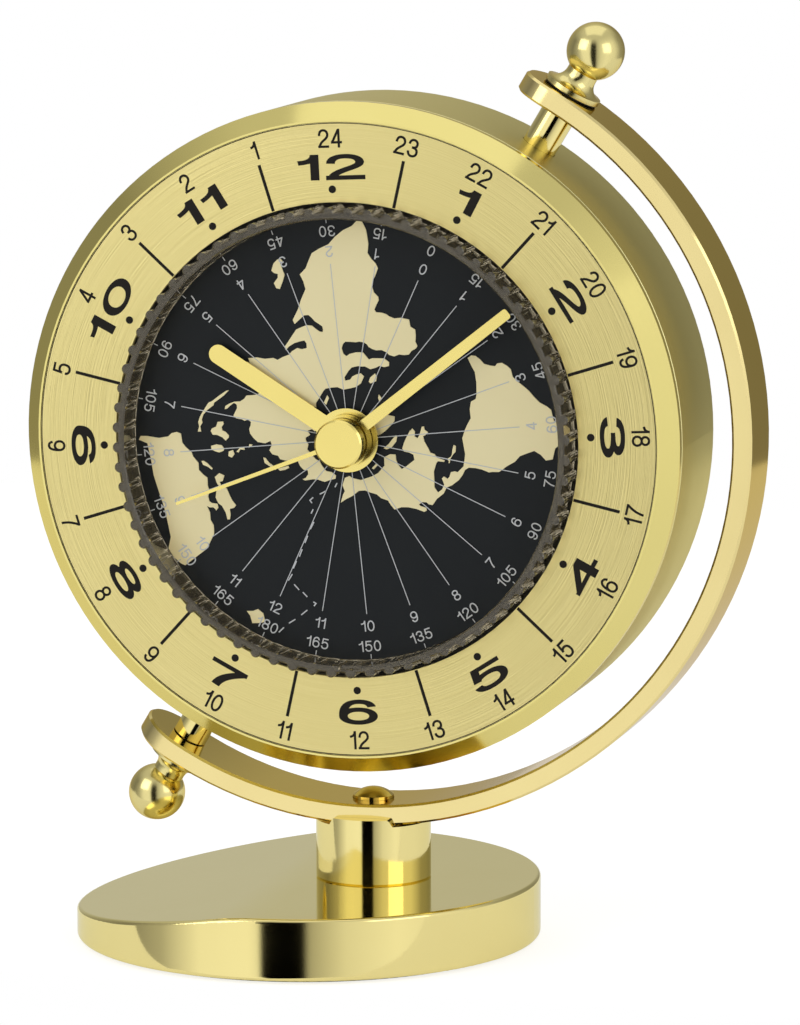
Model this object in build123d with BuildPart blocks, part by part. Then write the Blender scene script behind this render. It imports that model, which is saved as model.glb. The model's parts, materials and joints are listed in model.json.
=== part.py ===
from build123d import *
from math import acos, asin, atan2, cos, degrees, hypot, radians, sin, sqrt
import os

os.makedirs("parts", exist_ok=True)

# Cuts run past the faces they open by this much
overrun = 2.0

# Clearances
running_gap = 0.05       # radial, a turning shaft in its hole
thread_gap = 0.05        # radial, a screw in its tapped hole
drop_in_gap = 0.10       # radial, a loose hole over a screw, or a piece dropped into its seat
moving_gap = 0.30        # between bodies that pass each other
axial_gap = 0.05         # end play of the swivel
window_gap = 0.35        # round the battery door

# Base
base_radius = 46.6
base_height = 12.9       # floor to the flat part of the top
base_low_height = 6.3    # floor to the top at the low end
base_slope_start = 2.0   # from the base centre to the crease, on the low side
base_crease_radius = 60.0
base_rim_round = 0.8
base_foot_round = 1.0
base_lift = 0.6          # the metal stands this far off the floor, on the felt
pad_radius = 43.5
pad_thickness = 1.6

# Post
post_offset = 13.5       # post and dial stand this far to the right of the base centre
post_radius = 11.5
post_height = 11.8       # base top to the underside of the arm
post_foot_chamfer = 0.3
lip_height = 1.4
lip_foot_width = 13.0
lip_top_width = 11.4
lip_corner_round = 0.7
saddle_gap = 0.05

# Arm
arm_gap = 8.4            # from the drum to the inside of the arm
arm_thickness = 4.0
arm_width = 17.0
arm_edge_chamfer = 0.45
lug_reach = 9.5          # from the swivel axis to the tip of each rounded end
swivel_tilt = 31.0       # degrees, the swivel axis leans this far from upright

# Base screw, up into the post
base_screw_radius = 2.45
base_screw_head_radius = 4.2
base_screw_head_height = 3.0
base_screw_grip = 5.6    # length inside the post
base_screw_socket_radius = 2.0
base_screw_socket_depth = 1.8

# Arm screw, down into the post
arm_screw_radius = 1.95
arm_screw_head_radius = 4.1
arm_screw_rim_height = 1.0
arm_screw_head_height = 2.6
arm_screw_grip = 4.6
arm_screw_seat_depth = 0.3

# Swivel pins, bushes, washers and finials
bush_radius = 3.2
bush_inset = 0.15
pin_radius = 3.5
pin_spigot_radius = 2.5
pin_end_gap = 0.25
pin_seat_depth = 0.3     # flat cut into the drum wall
pin_stud_radius = 2.45
pin_stud_length = 4.6
pin_thread_radius = 1.6
pin_thread_length = 3.8
swivel_washer_radius = 5.6
swivel_washer_thickness = 0.25
finial_flange_radius = 5.8
finial_flange_thickness = 1.0
finial_neck_radius = 3.15
finial_ball_radius = 5.7
finial_ball_distance = 9.5  # from the outside of the arm to the ball centre
pivot_block_width = 14.0
pivot_block_depth = 3.6

# Case drum
drum_radius = 66.1
drum_wall = 1.5
drum_front = 14.65       # depths are measured forward from the swivel axis
drum_rear = -14.8
drum_rear_round = 1.0
drum_front_chamfer = 0.2
ledge_width = 8.1
ledge_thickness = 3.0

# Bezel
bezel_front = 20.5
bezel_bevel_width = 3.7
bezel_lip_width = 0.4
bezel_bevel_depth = 3.7
bezel_back = 15.1        # the dark joint line lies between here and the drum
bezel_skirt_end = 11.5
bezel_skirt_wall = 1.3
bezel_shoulder = 18.0
bezel_fit_gap = 0.10

# Dial
dial_face = 20.3
dial_lean = 2.7          # degrees anticlockwise, the dial sits slightly turned in its case
dial_ring_thickness = 1.0
dial_ring_width = 15.5
dial_plate_floor = 15.8
dial_plate_back = 14.3
dial_plate_hole_radius = 3.3
dial_rim_wall_gap = 0.1
retaining_ring_width = 2.3
retaining_ring_thickness = 1.5

# World disc and the clear knurled ring round it
disc_rim_gap = 0.10      # between the disc and the clear ring
disc_thickness = 1.2
disc_lift = 0.3          # the disc clears the floor of the dial plate
first_meridian = 63.2    # direction of the map's first meridian, degrees anticlockwise from the right
land_height = 0.2
land_edge_gap = 0.15
clear_ring_gap = 0.65    # between the clear ring and the dial ring
clear_ring_wall = 1.3   # from the bore to the bottom of the valleys
clear_ring_bump_rise = 1.05
clear_ring_height = 8.8
clear_ring_bumps = 72
clear_ring_bump_radius = 1.05
clear_ring_chamfer = 0.30
clear_ring_notch_width = 4.6     # a shallow notch at the foot of the inner rim
clear_ring_notch_reach = 0.7
clear_ring_notch_depth = 1.2

# Hands
hand_thickness = 0.6
hour_hand_back = 18.3
hour_hand_length = 32.6
hour_hand_width = 3.8
hour_boss_radius = 6.3
minute_hub_back = 19.3
minute_hub_thickness = 2.7
minute_bar_back = 21.4
minute_tip_gap = 1.4    # from the tip to the clear ring
minute_hand_root_width = 2.4
minute_hand_tip_width = 2.1
minute_tip_corner = 0.5    # radius of the two corners at the tip
minute_boss_radius = 5.2
second_hand_back = 22.3
second_hand_thickness = 0.3
second_tip_gap = 7.5
second_hand_root_width = 0.9
second_hand_tip_width = 0.6
second_boss_radius = 4.2
hand_cap_radius = 4.8
hand_cap_thickness = 3.0
hand_cap_chamfer = 0.35

# Where the hands stand. The minute hand was set by hand, so it doesn't agree with the seconds
shown_hour = 10
shown_minute = 9.05
shown_second = 41.9

# Movement layers, as depths of the front of each wheel
wheel_thickness = 0.8
world_layer = 12.7
hour_layer = 11.5
cannon_layer = 10.3
centre_layer = 7.2
third_layer = 6.0
second_layer = 4.8
fifth_layer = 3.6

# Movement housing
housing_width = 58.0
housing_corner_radius = 4.0
housing_wall = 1.2
housing_back = -0.4
housing_floor = 1.5
front_plate_thickness = 1.2
main_plate_front = 9.1
main_plate_thickness = 1.5
pillar_radius = 2.2
pillar_inset = 5.5       # from each side of the housing to the middle of a pillar
movement_screw_radius = 0.95
movement_screw_head_radius = 1.9
movement_screw_head_height = 1.2
movement_screw_grip = 1.2

# Tubes and arbors at the centre of the dial
second_arbor_radius = 0.60
minute_tube_radius = 1.20
hour_tube_radius = 1.90
world_tube_radius = 2.80
hand_seat_step = 0.25
hand_seat_stand_out = 0.10
disc_seat_step = 0.30
arbor_radius = 0.50
pivot_radius = 0.30
pivot_length = 0.80
stud_radius = 0.80
set_shaft_radius = 1.00
set_shaft_hole_gap = 0.60
knob_radius = 6.5
knob_length = 5.0
knob_stand_off = 0.6
knob_grips = 20
knob_grip_radius = 0.7

# Gears: tip height and root depth as shares of the module, half widths as shares of the tooth step
tooth_shares = (0.95, 0.07, 1.15, 0.24)    # tip height and half width, root depth and half width
leaf_shares = (0.75, 0.09, 1.45, 0.20)     # the same of a pinion's leaf

# Gears: teeth and module
second_pinion_teeth = 8
third_wheel_teeth = 60
third_module = 0.36
third_pinion_teeth = 8
centre_wheel_teeth = 64
centre_module = 0.34
rotor_pinion_teeth = 6
fifth_wheel_teeth = 36
fifth_module = 0.30
fifth_pinion_teeth = 8
second_wheel_teeth = 40
second_module = 0.50
cannon_teeth = 12
motion_wheel_teeth = 36
cannon_module = 0.60
motion_pinion_teeth = 10
hour_wheel_teeth = 40
hour_module = 0.576
idler_wheel_teeth = 20
idler_pinion_teeth = 12
world_wheel_teeth = 48
world_module = 0.70
set_pinion_teeth = 18

# Directions of the arbors from the centre, degrees anticlockwise from the right
third_direction = 180.0
fifth_direction = 0.0
rotor_direction = 40.0       # from the fifth wheel
motion_direction = 270.0
idler_side = 1               # to the right of the motion wheel
set_direction = 200.0        # from the motion wheel

# Motor, circuit and battery
magnet_radius = 1.6
magnet_back = 3.8
magnet_length = 2.0
stator_back = 4.2
stator_thickness = 0.8
stator_hole_radius = 2.0
stator_ring_radius = 3.5
stator_bar_bottom = 11.2
stator_bar_top = 15.0
stator_left = -1.0
stator_right = 23.5
stator_leg_width = 3.5
stator_leg_top = 20.9
stator_post_radius = 1.2
coil_centre_height = 18.6
coil_core_width = 2.0
coil_flange_radius = 2.85
coil_flange_thickness = 0.6
coil_winding_radius = 2.6
board_width = 21.0
board_height = 15.0
board_thickness = 0.8
board_centre_across = -14.5
board_centre_up = 17.5
crystal_radius = 0.95
crystal_length = 6.0
crystal_down_share = 0.25    # of the board height, below its middle
chip_width = 4.6
chip_height = 1.1
chip_up_share = 0.17         # of the board height, above its middle

battery_radius = 7.1
battery_length = 49.0
battery_nub_radius = 2.7
battery_nub_length = 1.3
battery_bay_wall = 1.2
battery_bay_inner_length = 53.0
battery_bay_inner_width = 15.0
battery_bay_depth = 16.2
battery_drop = 10.8      # from the foot of the housing to the middle of the battery
contact_thickness = 0.4
contact_width = 9.0
contact_tab_width = 3.0
contact_tab_length = 2.4
contact_tab_share = 0.33     # of the bay depth, from the cover to the tab

# Back cover and battery door
cover_edge_width = 2.6   # from the edge of the cover to the wall of the drum
cover_seat_gap = 0.2
cover_thickness = 2.4
cover_screw_inset = 2.7
cover_screw_radius = 1.0
cover_screw_head_radius = 1.9
cover_screw_head_height = 1.2
cover_screw_grip = 2.4
door_length = 52.4
door_width = 15.6
door_pin_radius = 0.62
door_pin_length = 1.6
door_notch_radius = 3.0

# Worked out from the sizes above
arm_inner_radius = drum_radius + arm_gap
arm_outer_radius = arm_inner_radius + arm_thickness
centre_height = base_height + post_height + arm_outer_radius
centre = Vector(post_offset, 0, centre_height)
drum_inner_radius = drum_radius - drum_wall
cover_back = drum_rear
cover_front = cover_back + cover_thickness
ledge_inner_radius = drum_inner_radius - ledge_width
cover_radius = drum_inner_radius - cover_edge_width
cover_screw_circle_radius = cover_radius - cover_screw_inset
bezel_lip_radius = drum_radius - bezel_bevel_width
plate_rim_radius = bezel_lip_radius - bezel_fit_gap
dial_ring_inner_radius = plate_rim_radius - dial_ring_width
clear_ring_outer_radius = dial_ring_inner_radius - clear_ring_gap
clear_ring_valley_radius = clear_ring_outer_radius - clear_ring_bump_rise
clear_ring_inner_radius = clear_ring_valley_radius - clear_ring_wall
disc_radius = clear_ring_inner_radius - disc_rim_gap
minute_hand_length = clear_ring_inner_radius - minute_tip_gap
second_hand_length = clear_ring_inner_radius - second_tip_gap
bore_radius = drum_inner_radius - bezel_fit_gap - bezel_skirt_wall
housing_front = dial_plate_back - front_plate_thickness
housing_inner = housing_back + housing_floor
main_plate_back = main_plate_front - main_plate_thickness
pillar_spacing = housing_width - 2 * pillar_inset
battery_centre_down = housing_width / 2 + battery_drop
disc_back = dial_plate_floor + disc_lift
disc_face = disc_back + disc_thickness

dial_axis = Axis(centre, (0, -1, 0))


def facing_plane(depth, turn=0.0, across=0.0, up=0.0):
    """Plane that faces the viewer, its local x turned anticlockwise, its origin moved in that turned plane."""
    side = Vector(cos(radians(turn)), 0, sin(radians(turn)))
    rise = Vector(-sin(radians(turn)), 0, cos(radians(turn)))
    origin = centre + side * across + rise * up + Vector(0, -depth, 0)
    return Plane(origin=origin, x_dir=side, z_dir=Vector(0, -1, 0))


def section_plane(turn=0.0, across=0.0, up=0.0):
    """Half-section plane of a turned piece: local x is the radius, local y the depth towards the viewer."""
    origin = facing_plane(0.0, turn, across, up).origin
    return Plane(origin=origin, x_dir=Vector(1, 0, 0), z_dir=Vector(0, 0, -1))


def swivel_direction(end):
    """Unit vector along the swivel axis, towards the upper end for 1 and the lower end for -1."""
    return Vector(end * sin(radians(swivel_tilt)), 0, end * cos(radians(swivel_tilt)))


past_lug = Vector(-cos(radians(swivel_tilt)), 0, sin(radians(swivel_tilt)))


def lug_plane(end, distance):
    """Plane square to the swivel axis, local x pointing past the arm's rounded end."""
    along = swivel_direction(end)
    return Plane(origin=centre + along * distance, x_dir=past_lug, z_dir=along)


def swivel_section(end):
    """Half-section plane through the swivel axis: local x is the radius, local y is along the axis."""
    along = swivel_direction(end)
    return Plane(origin=centre, x_dir=Vector(0, 1, 0), z_dir=Vector(0, 1, 0).cross(along))


def polar(radius, angle):
    """Point at a radius and an angle in degrees, anticlockwise from the right."""
    return radius * cos(radians(angle)), radius * sin(radians(angle))


def gear_outline(teeth, module, turn, leaf=False):
    """Corners of a gear with straight-sided teeth, one tooth centred on the angle turn.

    A wheel has full, tapering teeth. A pinion has slimmer leaves with deep gaps, so that a few leaves can roll
    through a large wheel without binding.
    """
    tip_share, tip_half, root_share, root_half = leaf_shares if leaf else tooth_shares
    pitch_radius = teeth * module / 2
    step = 360 / teeth
    corners = []
    for tooth in range(teeth):
        middle = turn + tooth * step
        for radius_share, offset_share in (
            (-root_share, -root_half),
            (tip_share, -tip_half),
            (tip_share, tip_half),
            (-root_share, root_half),
        ):
            corners.append(polar(pitch_radius + radius_share * module, middle + offset_share * step))
    return corners


def meshed_turn(turn, teeth, towards, other_teeth):
    """Turn of a gear whose gap meets a tooth of a first gear, with the line of centres at towards."""
    return towards + 180 - (turn - towards) * teeth / other_teeth - 180 / other_teeth


def save(piece, name):
    """Label a finished piece and write it under its own name."""
    piece.part.label = name
    export_step(piece.part, f"parts/{name}.step")


# Base: a heavy round disc, its top flat under the post and sloping down towards the far side
base_fall = (base_height - base_low_height) / (base_radius - base_slope_start)
with BuildPart() as base:
    with BuildSketch(Plane.XZ) as base_side:
        with BuildLine():
            Polyline(
                (-base_radius - overrun, base_lift),
                (base_radius + overrun, base_lift),
                (base_radius + overrun, base_height),
                (-base_slope_start, base_height),
                (-base_radius - overrun, base_low_height - overrun * base_fall),
                close=True,
            )
        make_face()
        crease = base_side.vertices().sort_by_distance((-base_slope_start, base_height))[0]
        fillet(crease, base_crease_radius)
    extrude(amount=base_radius + overrun, both=True)
    with BuildSketch():
        Circle(base_radius)
    extrude(amount=base_height + overrun, mode=Mode.INTERSECT)
    rim = base.edges().filter_by(
        lambda edge: edge.geom_type != GeomType.LINE
        and abs(hypot((edge @ 0.5).X, (edge @ 0.5).Y) - base_radius) < thread_gap
    )
    fillet(rim.filter_by(lambda edge: (edge @ 0.5).Z > base_low_height / 2), base_rim_round)
    foot = base.edges().filter_by(GeomType.CIRCLE).sort_by(Axis.Z)[0]
    fillet(foot, base_foot_round)
    with BuildSketch(Plane.XY.offset(base_lift)):
        Circle(pad_radius + drop_in_gap)
    extrude(amount=pad_thickness - base_lift, mode=Mode.SUBTRACT)
    with BuildSketch(Plane.XY.offset(pad_thickness)):
        with Locations((post_offset, 0)):
            Circle(base_screw_head_radius + moving_gap)
    extrude(amount=base_screw_head_height, mode=Mode.SUBTRACT)
    with BuildSketch(Plane.XY.offset(pad_thickness)):
        with Locations((post_offset, 0)):
            Circle(base_screw_radius + drop_in_gap)
    extrude(amount=base_height, mode=Mode.SUBTRACT)
save(base, "base")

# Felt pad let into the underside, which the clock stands on
with BuildPart() as base_pad:
    with BuildSketch():
        Circle(pad_radius)
    extrude(amount=pad_thickness)
save(base_pad, "base_pad")

# Screw that holds the post, its head sunk in the base above the felt
with BuildPart() as base_screw:
    with BuildSketch(Plane((post_offset, 0, pad_thickness))):
        Circle(base_screw_head_radius)
    extrude(amount=base_screw_head_height)
    with BuildSketch(Plane((post_offset, 0, pad_thickness))):
        Circle(base_screw_radius)
    extrude(amount=base_height + base_screw_grip - pad_thickness)
    with BuildSketch(Plane((post_offset, 0, pad_thickness))):
        RegularPolygon(base_screw_socket_radius, 6)
    extrude(amount=base_screw_socket_depth, mode=Mode.SUBTRACT)
save(base_screw, "base_screw")

# Post: a short round column whose top is hollowed to the curve of the arm, with a lip in front and behind
post_top = base_height + post_height
with BuildPart() as post:
    with BuildSketch(Plane((post_offset, 0, base_height))):
        Circle(post_radius)
    extrude(amount=post_height + lip_height)
    chamfer(post.faces().sort_by(Axis.Z)[0].edges(), post_foot_chamfer)
    with BuildSketch(facing_plane(0.0)):
        Circle(arm_outer_radius + saddle_gap)
    extrude(amount=arm_width / 2 + saddle_gap, both=True, mode=Mode.SUBTRACT)
    with BuildSketch(Plane((post_offset, 0, post_top), x_dir=(1, 0, 0), z_dir=(0, -1, 0))):
        with Locations((0, lip_height / 2)):
            Rectangle(2 * (post_radius + overrun), lip_height)
        with BuildSketch(mode=Mode.SUBTRACT) as lip:
            with BuildLine():
                Polyline(
                    (-lip_foot_width / 2, 0),
                    (lip_foot_width / 2, 0),
                    (lip_top_width / 2, lip_height),
                    (-lip_top_width / 2, lip_height),
                    close=True,
                )
            make_face()
            fillet(lip.vertices().group_by(Axis.Y)[-1], lip_corner_round)
    extrude(amount=post_radius + overrun, both=True, mode=Mode.SUBTRACT)
    with BuildSketch(Plane((post_offset, 0, base_height))):
        Circle(base_screw_radius + thread_gap)
    extrude(amount=base_screw_grip + drop_in_gap, mode=Mode.SUBTRACT)
    with BuildSketch(Plane((post_offset, 0, post_top))):
        Circle(arm_screw_radius + thread_gap)
    extrude(amount=-(arm_screw_grip + drop_in_gap), mode=Mode.SUBTRACT)
save(post, "post")

# Arm: half a ring of flat bar with rounded ends, open on the left
lug_angle = degrees((lug_reach + overrun) / arm_inner_radius)
upper_angle = 90 - swivel_tilt
with BuildPart() as arm:
    with BuildSketch(facing_plane(0.0)):
        with BuildLine():
            outer_edge = CenterArc((0, 0), arm_outer_radius, upper_angle + lug_angle, -180 - 2 * lug_angle)
            inner_edge = CenterArc((0, 0), arm_inner_radius, upper_angle + lug_angle, -180 - 2 * lug_angle)
            Line(outer_edge @ 0, inner_edge @ 0)
            Line(outer_edge @ 1, inner_edge @ 1)
        make_face()
    extrude(amount=arm_width / 2, both=True)
    for end in (1, -1):
        with BuildSketch(lug_plane(end, arm_inner_radius - overrun)):
            with Locations((lug_reach - arm_width / 2 + arm_width, 0)):
                Rectangle(2 * arm_width, arm_width + 2 * overrun)
            with Locations((lug_reach - arm_width / 2, 0)):
                Circle(arm_width / 2, mode=Mode.SUBTRACT)
        extrude(amount=arm_thickness + 2 * overrun, mode=Mode.SUBTRACT)
    broad_faces = arm.faces().filter_by(GeomType.CYLINDER).sort_by(SortBy.AREA)[-2:]
    chamfer(broad_faces.edges(), arm_edge_chamfer)
    for end in (1, -1):
        with BuildSketch(lug_plane(end, arm_inner_radius - overrun)):
            Circle(bush_radius)
        extrude(amount=arm_thickness + 2 * overrun, mode=Mode.SUBTRACT)
    with BuildSketch(Plane((post_offset, 0, post_top - overrun))):
        Circle(arm_screw_radius + drop_in_gap)
    extrude(amount=arm_thickness + 2 * overrun, mode=Mode.SUBTRACT)
    with BuildSketch(Plane((post_offset, 0, post_top + arm_thickness - arm_screw_seat_depth))):
        Circle(arm_screw_head_radius + drop_in_gap)
    extrude(amount=arm_screw_seat_depth + overrun, mode=Mode.SUBTRACT)
save(arm, "arm")

# Domed screw that clamps the arm down on the post
arm_screw_seat = post_top + arm_thickness - arm_screw_seat_depth
dome_height = arm_screw_head_height - arm_screw_rim_height
dome_sphere = (arm_screw_head_radius**2 + dome_height**2) / (2 * dome_height)
dome_half_angle = asin(arm_screw_head_radius / dome_sphere) / 2
with BuildPart() as arm_screw:
    with BuildSketch(Plane((post_offset, 0, arm_screw_seat), x_dir=(1, 0, 0), z_dir=(0, -1, 0))):
        with BuildLine():
            Polyline(
                (0, arm_screw_head_height),
                (0, arm_screw_seat_depth - arm_thickness - arm_screw_grip),
                (arm_screw_radius, arm_screw_seat_depth - arm_thickness - arm_screw_grip),
                (arm_screw_radius, 0),
                (arm_screw_head_radius, 0),
                (arm_screw_head_radius, arm_screw_rim_height),
            )
            ThreePointArc(
                (arm_screw_head_radius, arm_screw_rim_height),
                (
                    dome_sphere * sin(dome_half_angle),
                    arm_screw_head_height - dome_sphere * (1 - cos(dome_half_angle)),
                ),
                (0, arm_screw_head_height),
            )
        make_face()
    revolve(axis=Axis((post_offset, 0, 0), (0, 0, 1)))
save(arm_screw, "arm_screw")

# Swivel hardware: at each end a pin screwed into the case turns in a bush in the arm, under a ball finial
pin_seat = drum_radius - pin_seat_depth
pin_shoulder = arm_inner_radius - pin_end_gap
washer_back = arm_outer_radius + axial_gap
finial_seat = washer_back + swivel_washer_thickness
flange_front = finial_seat + finial_flange_thickness
flare_radius = finial_flange_radius - finial_neck_radius
neck_start = flange_front + flare_radius
ball_centre = arm_outer_radius + finial_ball_distance
ball_start = ball_centre - sqrt(finial_ball_radius**2 - finial_neck_radius**2)
for end, place in ((1, "upper"), (-1, "lower")):
    swivel_axis = Axis(centre, swivel_direction(end))

    with BuildPart() as bush:
        with BuildSketch(lug_plane(end, arm_inner_radius + bush_inset)):
            Circle(bush_radius - thread_gap / 2)
            Circle(pin_spigot_radius + running_gap, mode=Mode.SUBTRACT)
        extrude(amount=arm_thickness - 2 * bush_inset)
    save(bush, f"{place}_bush")

    with BuildPart() as pivot_pin:
        with BuildSketch(swivel_section(end)):
            with BuildLine():
                Polyline(
                    (0, pin_seat - pin_stud_length),
                    (pin_stud_radius, pin_seat - pin_stud_length),
                    (pin_stud_radius, pin_seat),
                    (pin_radius, pin_seat),
                    (pin_radius, pin_shoulder),
                    (pin_spigot_radius, pin_shoulder),
                    (pin_spigot_radius, finial_seat),
                    (pin_thread_radius, finial_seat),
                    (pin_thread_radius, finial_seat + pin_thread_length),
                    (0, finial_seat + pin_thread_length),
                    close=True,
                )
            make_face()
        revolve(axis=swivel_axis)
    save(pivot_pin, f"{place}_pivot_pin")

    with BuildPart() as swivel_washer:
        with BuildSketch(lug_plane(end, washer_back)):
            Circle(swivel_washer_radius)
            Circle(pin_spigot_radius + thread_gap, mode=Mode.SUBTRACT)
        extrude(amount=swivel_washer_thickness)
    save(swivel_washer, f"{place}_washer")

    with BuildPart() as finial:
        with BuildSketch(swivel_section(end)):
            with BuildLine():
                Polyline(
                    (0, ball_centre + finial_ball_radius),
                    (0, finial_seat),
                    (finial_flange_radius, finial_seat),
                    (finial_flange_radius, flange_front),
                )
                RadiusArc(
                    (finial_flange_radius, flange_front),
                    (finial_neck_radius, neck_start),
                    flare_radius,
                )
                Line((finial_neck_radius, neck_start), (finial_neck_radius, ball_start))
                ThreePointArc(
                    (finial_neck_radius, ball_start),
                    (finial_ball_radius, ball_centre),
                    (0, ball_centre + finial_ball_radius),
                )
            make_face()
        revolve(axis=swivel_axis)
        with BuildSketch(lug_plane(end, finial_seat)):
            Circle(pin_thread_radius + thread_gap)
        extrude(amount=pin_thread_length + drop_in_gap, mode=Mode.SUBTRACT)
    save(finial, f"{place}_finial")

    with BuildPart() as pivot_block:
        with BuildSketch(lug_plane(end, drum_inner_radius - pivot_block_depth)):
            Rectangle(pivot_block_width, pivot_block_width)
        extrude(amount=pivot_block_depth + overrun)
        with BuildSketch(facing_plane(0.0)):
            Circle(drum_inner_radius - thread_gap)
        extrude(amount=pivot_block_width, both=True, mode=Mode.INTERSECT)
        with BuildSketch(lug_plane(end, drum_inner_radius - pivot_block_depth - overrun)):
            Circle(pin_stud_radius + thread_gap)
        extrude(amount=pivot_block_depth + 2 * overrun, mode=Mode.SUBTRACT)
    save(pivot_block, f"{place}_pivot_block")

# Drum: the round wall of the case, with an inward ledge at the back for the cover
ledge_front = cover_front + ledge_thickness
with BuildPart() as drum:
    with BuildSketch(section_plane()):
        with BuildLine():
            Polyline(
                (drum_radius, drum_front),
                (drum_radius, drum_rear),
                (cover_radius + cover_seat_gap, drum_rear),
                (cover_radius + cover_seat_gap, cover_front),
                (ledge_inner_radius, cover_front),
                (ledge_inner_radius, ledge_front),
                (drum_inner_radius, ledge_front),
                (drum_inner_radius, drum_front),
                close=True,
            )
        make_face()
    revolve(axis=dial_axis)
    outer_rims = drum.edges().filter_by(
        lambda edge: edge.geom_type == GeomType.CIRCLE and abs(edge.radius - drum_radius) < thread_gap
    )
    fillet(outer_rims.sort_by(Axis.Y)[-1], drum_rear_round)
    chamfer(outer_rims.sort_by(Axis.Y)[0], drum_front_chamfer)
    for end in (1, -1):
        with BuildSketch(lug_plane(end, pin_seat)):
            Circle(pin_radius + drop_in_gap)
        extrude(amount=overrun, mode=Mode.SUBTRACT)
        with BuildSketch(lug_plane(end, drum_inner_radius - overrun)):
            Circle(pin_stud_radius + drop_in_gap)
        extrude(amount=drum_wall + 2 * overrun, mode=Mode.SUBTRACT)
    with BuildSketch(facing_plane(cover_front)):
        with PolarLocations(cover_screw_circle_radius, 4, start_angle=45):
            Circle(cover_screw_radius + thread_gap)
    extrude(amount=cover_screw_grip + drop_in_gap, mode=Mode.SUBTRACT)
save(drum, "drum")

# Bezel: a ring with a wide bevel in front and a skirt that plugs into the drum
bevel_back = bezel_front - bezel_bevel_depth
with BuildPart() as bezel:
    with BuildSketch(section_plane()):
        with BuildLine():
            Polyline(
                (bezel_lip_radius, bezel_front),
                (bezel_lip_radius + bezel_lip_width, bezel_front),
                (drum_radius, bevel_back),
                (drum_radius, bezel_back),
                (drum_inner_radius - bezel_fit_gap, bezel_back),
                (drum_inner_radius - bezel_fit_gap, bezel_skirt_end),
                (bore_radius, bezel_skirt_end),
                (bore_radius, bezel_shoulder),
                (bezel_lip_radius, bezel_shoulder),
                close=True,
            )
        make_face()
    revolve(axis=dial_axis)
save(bezel, "bezel")

# Dial ring: the brushed chapter ring that carries the hour figures and the 24-hour figures
with BuildPart() as dial_ring:
    with BuildSketch(facing_plane(dial_face - dial_ring_thickness)):
        Circle(plate_rim_radius)
        Circle(dial_ring_inner_radius, mode=Mode.SUBTRACT)
    extrude(amount=dial_ring_thickness)
save(dial_ring, "dial_ring")

# Dial plate: the moulded dish behind the dial, which carries the dial ring in front and the movement behind
plate_flange_radius = bore_radius - bezel_fit_gap
with BuildPart() as dial_plate:
    with BuildSketch(section_plane()):
        with BuildLine():
            Polyline(
                (dial_plate_hole_radius, dial_plate_back),
                (plate_flange_radius, dial_plate_back),
                (plate_flange_radius, bezel_shoulder - thread_gap),
                (plate_rim_radius, bezel_shoulder - thread_gap),
                (plate_rim_radius, dial_face - dial_ring_thickness),
                (dial_ring_inner_radius + dial_rim_wall_gap, dial_face - dial_ring_thickness),
                (dial_ring_inner_radius + dial_rim_wall_gap, dial_plate_floor),
                (dial_plate_hole_radius, dial_plate_floor),
                close=True,
            )
        make_face()
    revolve(axis=dial_axis)
    with BuildSketch(facing_plane(dial_plate_back, dial_lean)):
        with GridLocations(pillar_spacing, pillar_spacing, 2, 2):
            Circle(movement_screw_radius + thread_gap)
    extrude(amount=movement_screw_grip + drop_in_gap, mode=Mode.SUBTRACT)
save(dial_plate, "dial_plate")

# Retaining ring pressed into the bezel skirt behind the dial plate
with BuildPart() as retaining_ring:
    with BuildSketch(facing_plane(dial_plate_back - retaining_ring_thickness)):
        Circle(bore_radius - thread_gap)
        Circle(bore_radius - retaining_ring_width, mode=Mode.SUBTRACT)
    extrude(amount=retaining_ring_thickness)
save(retaining_ring, "retaining_ring")

# Where the arbors stand, as across and up in the turned plane of the dial
third_place = polar((second_pinion_teeth + third_wheel_teeth) * third_module / 2, third_direction)
fifth_place = polar((fifth_pinion_teeth + second_wheel_teeth) * second_module / 2, fifth_direction)
rotor_reach = polar((rotor_pinion_teeth + fifth_wheel_teeth) * fifth_module / 2, rotor_direction)
rotor_place = (fifth_place[0] + rotor_reach[0], fifth_place[1] + rotor_reach[1])
motion_distance = (cannon_teeth + motion_wheel_teeth) * cannon_module / 2
motion_place = polar(motion_distance, motion_direction)
idler_distance = (idler_pinion_teeth + world_wheel_teeth) * world_module / 2
idler_reach = (motion_pinion_teeth + idler_wheel_teeth) * hour_module / 2
idler_swing = degrees(
    acos((motion_distance**2 + idler_distance**2 - idler_reach**2) / (2 * motion_distance * idler_distance))
)
idler_direction = motion_direction + idler_side * idler_swing
idler_place = polar(idler_distance, idler_direction)
set_reach = polar((motion_wheel_teeth + set_pinion_teeth) * cannon_module / 2, set_direction)
set_place = (motion_place[0] + set_reach[0], motion_place[1] + set_reach[1])

# How far each gear is turned, so that every pair is in mesh at rest
third_wheel_turn = meshed_turn(0.0, second_pinion_teeth, third_direction, third_wheel_teeth)
third_pinion_turn = meshed_turn(0.0, centre_wheel_teeth, third_direction, third_pinion_teeth)
fifth_pinion_turn = meshed_turn(0.0, second_wheel_teeth, fifth_direction, fifth_pinion_teeth)
rotor_pinion_turn = meshed_turn(0.0, fifth_wheel_teeth, rotor_direction, rotor_pinion_teeth)
motion_wheel_turn = meshed_turn(0.0, cannon_teeth, motion_direction, motion_wheel_teeth)
motion_pinion_turn = meshed_turn(0.0, hour_wheel_teeth, motion_direction, motion_pinion_teeth)
idler_offset = (idler_place[0] - motion_place[0], idler_place[1] - motion_place[1])
idler_towards = degrees(atan2(idler_offset[1], idler_offset[0]))
idler_wheel_turn = meshed_turn(motion_pinion_turn, motion_pinion_teeth, idler_towards, idler_wheel_teeth)
idler_pinion_turn = meshed_turn(0.0, world_wheel_teeth, idler_direction, idler_pinion_teeth)
set_pinion_turn = meshed_turn(motion_wheel_turn, motion_wheel_teeth, set_direction, set_pinion_teeth)

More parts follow.
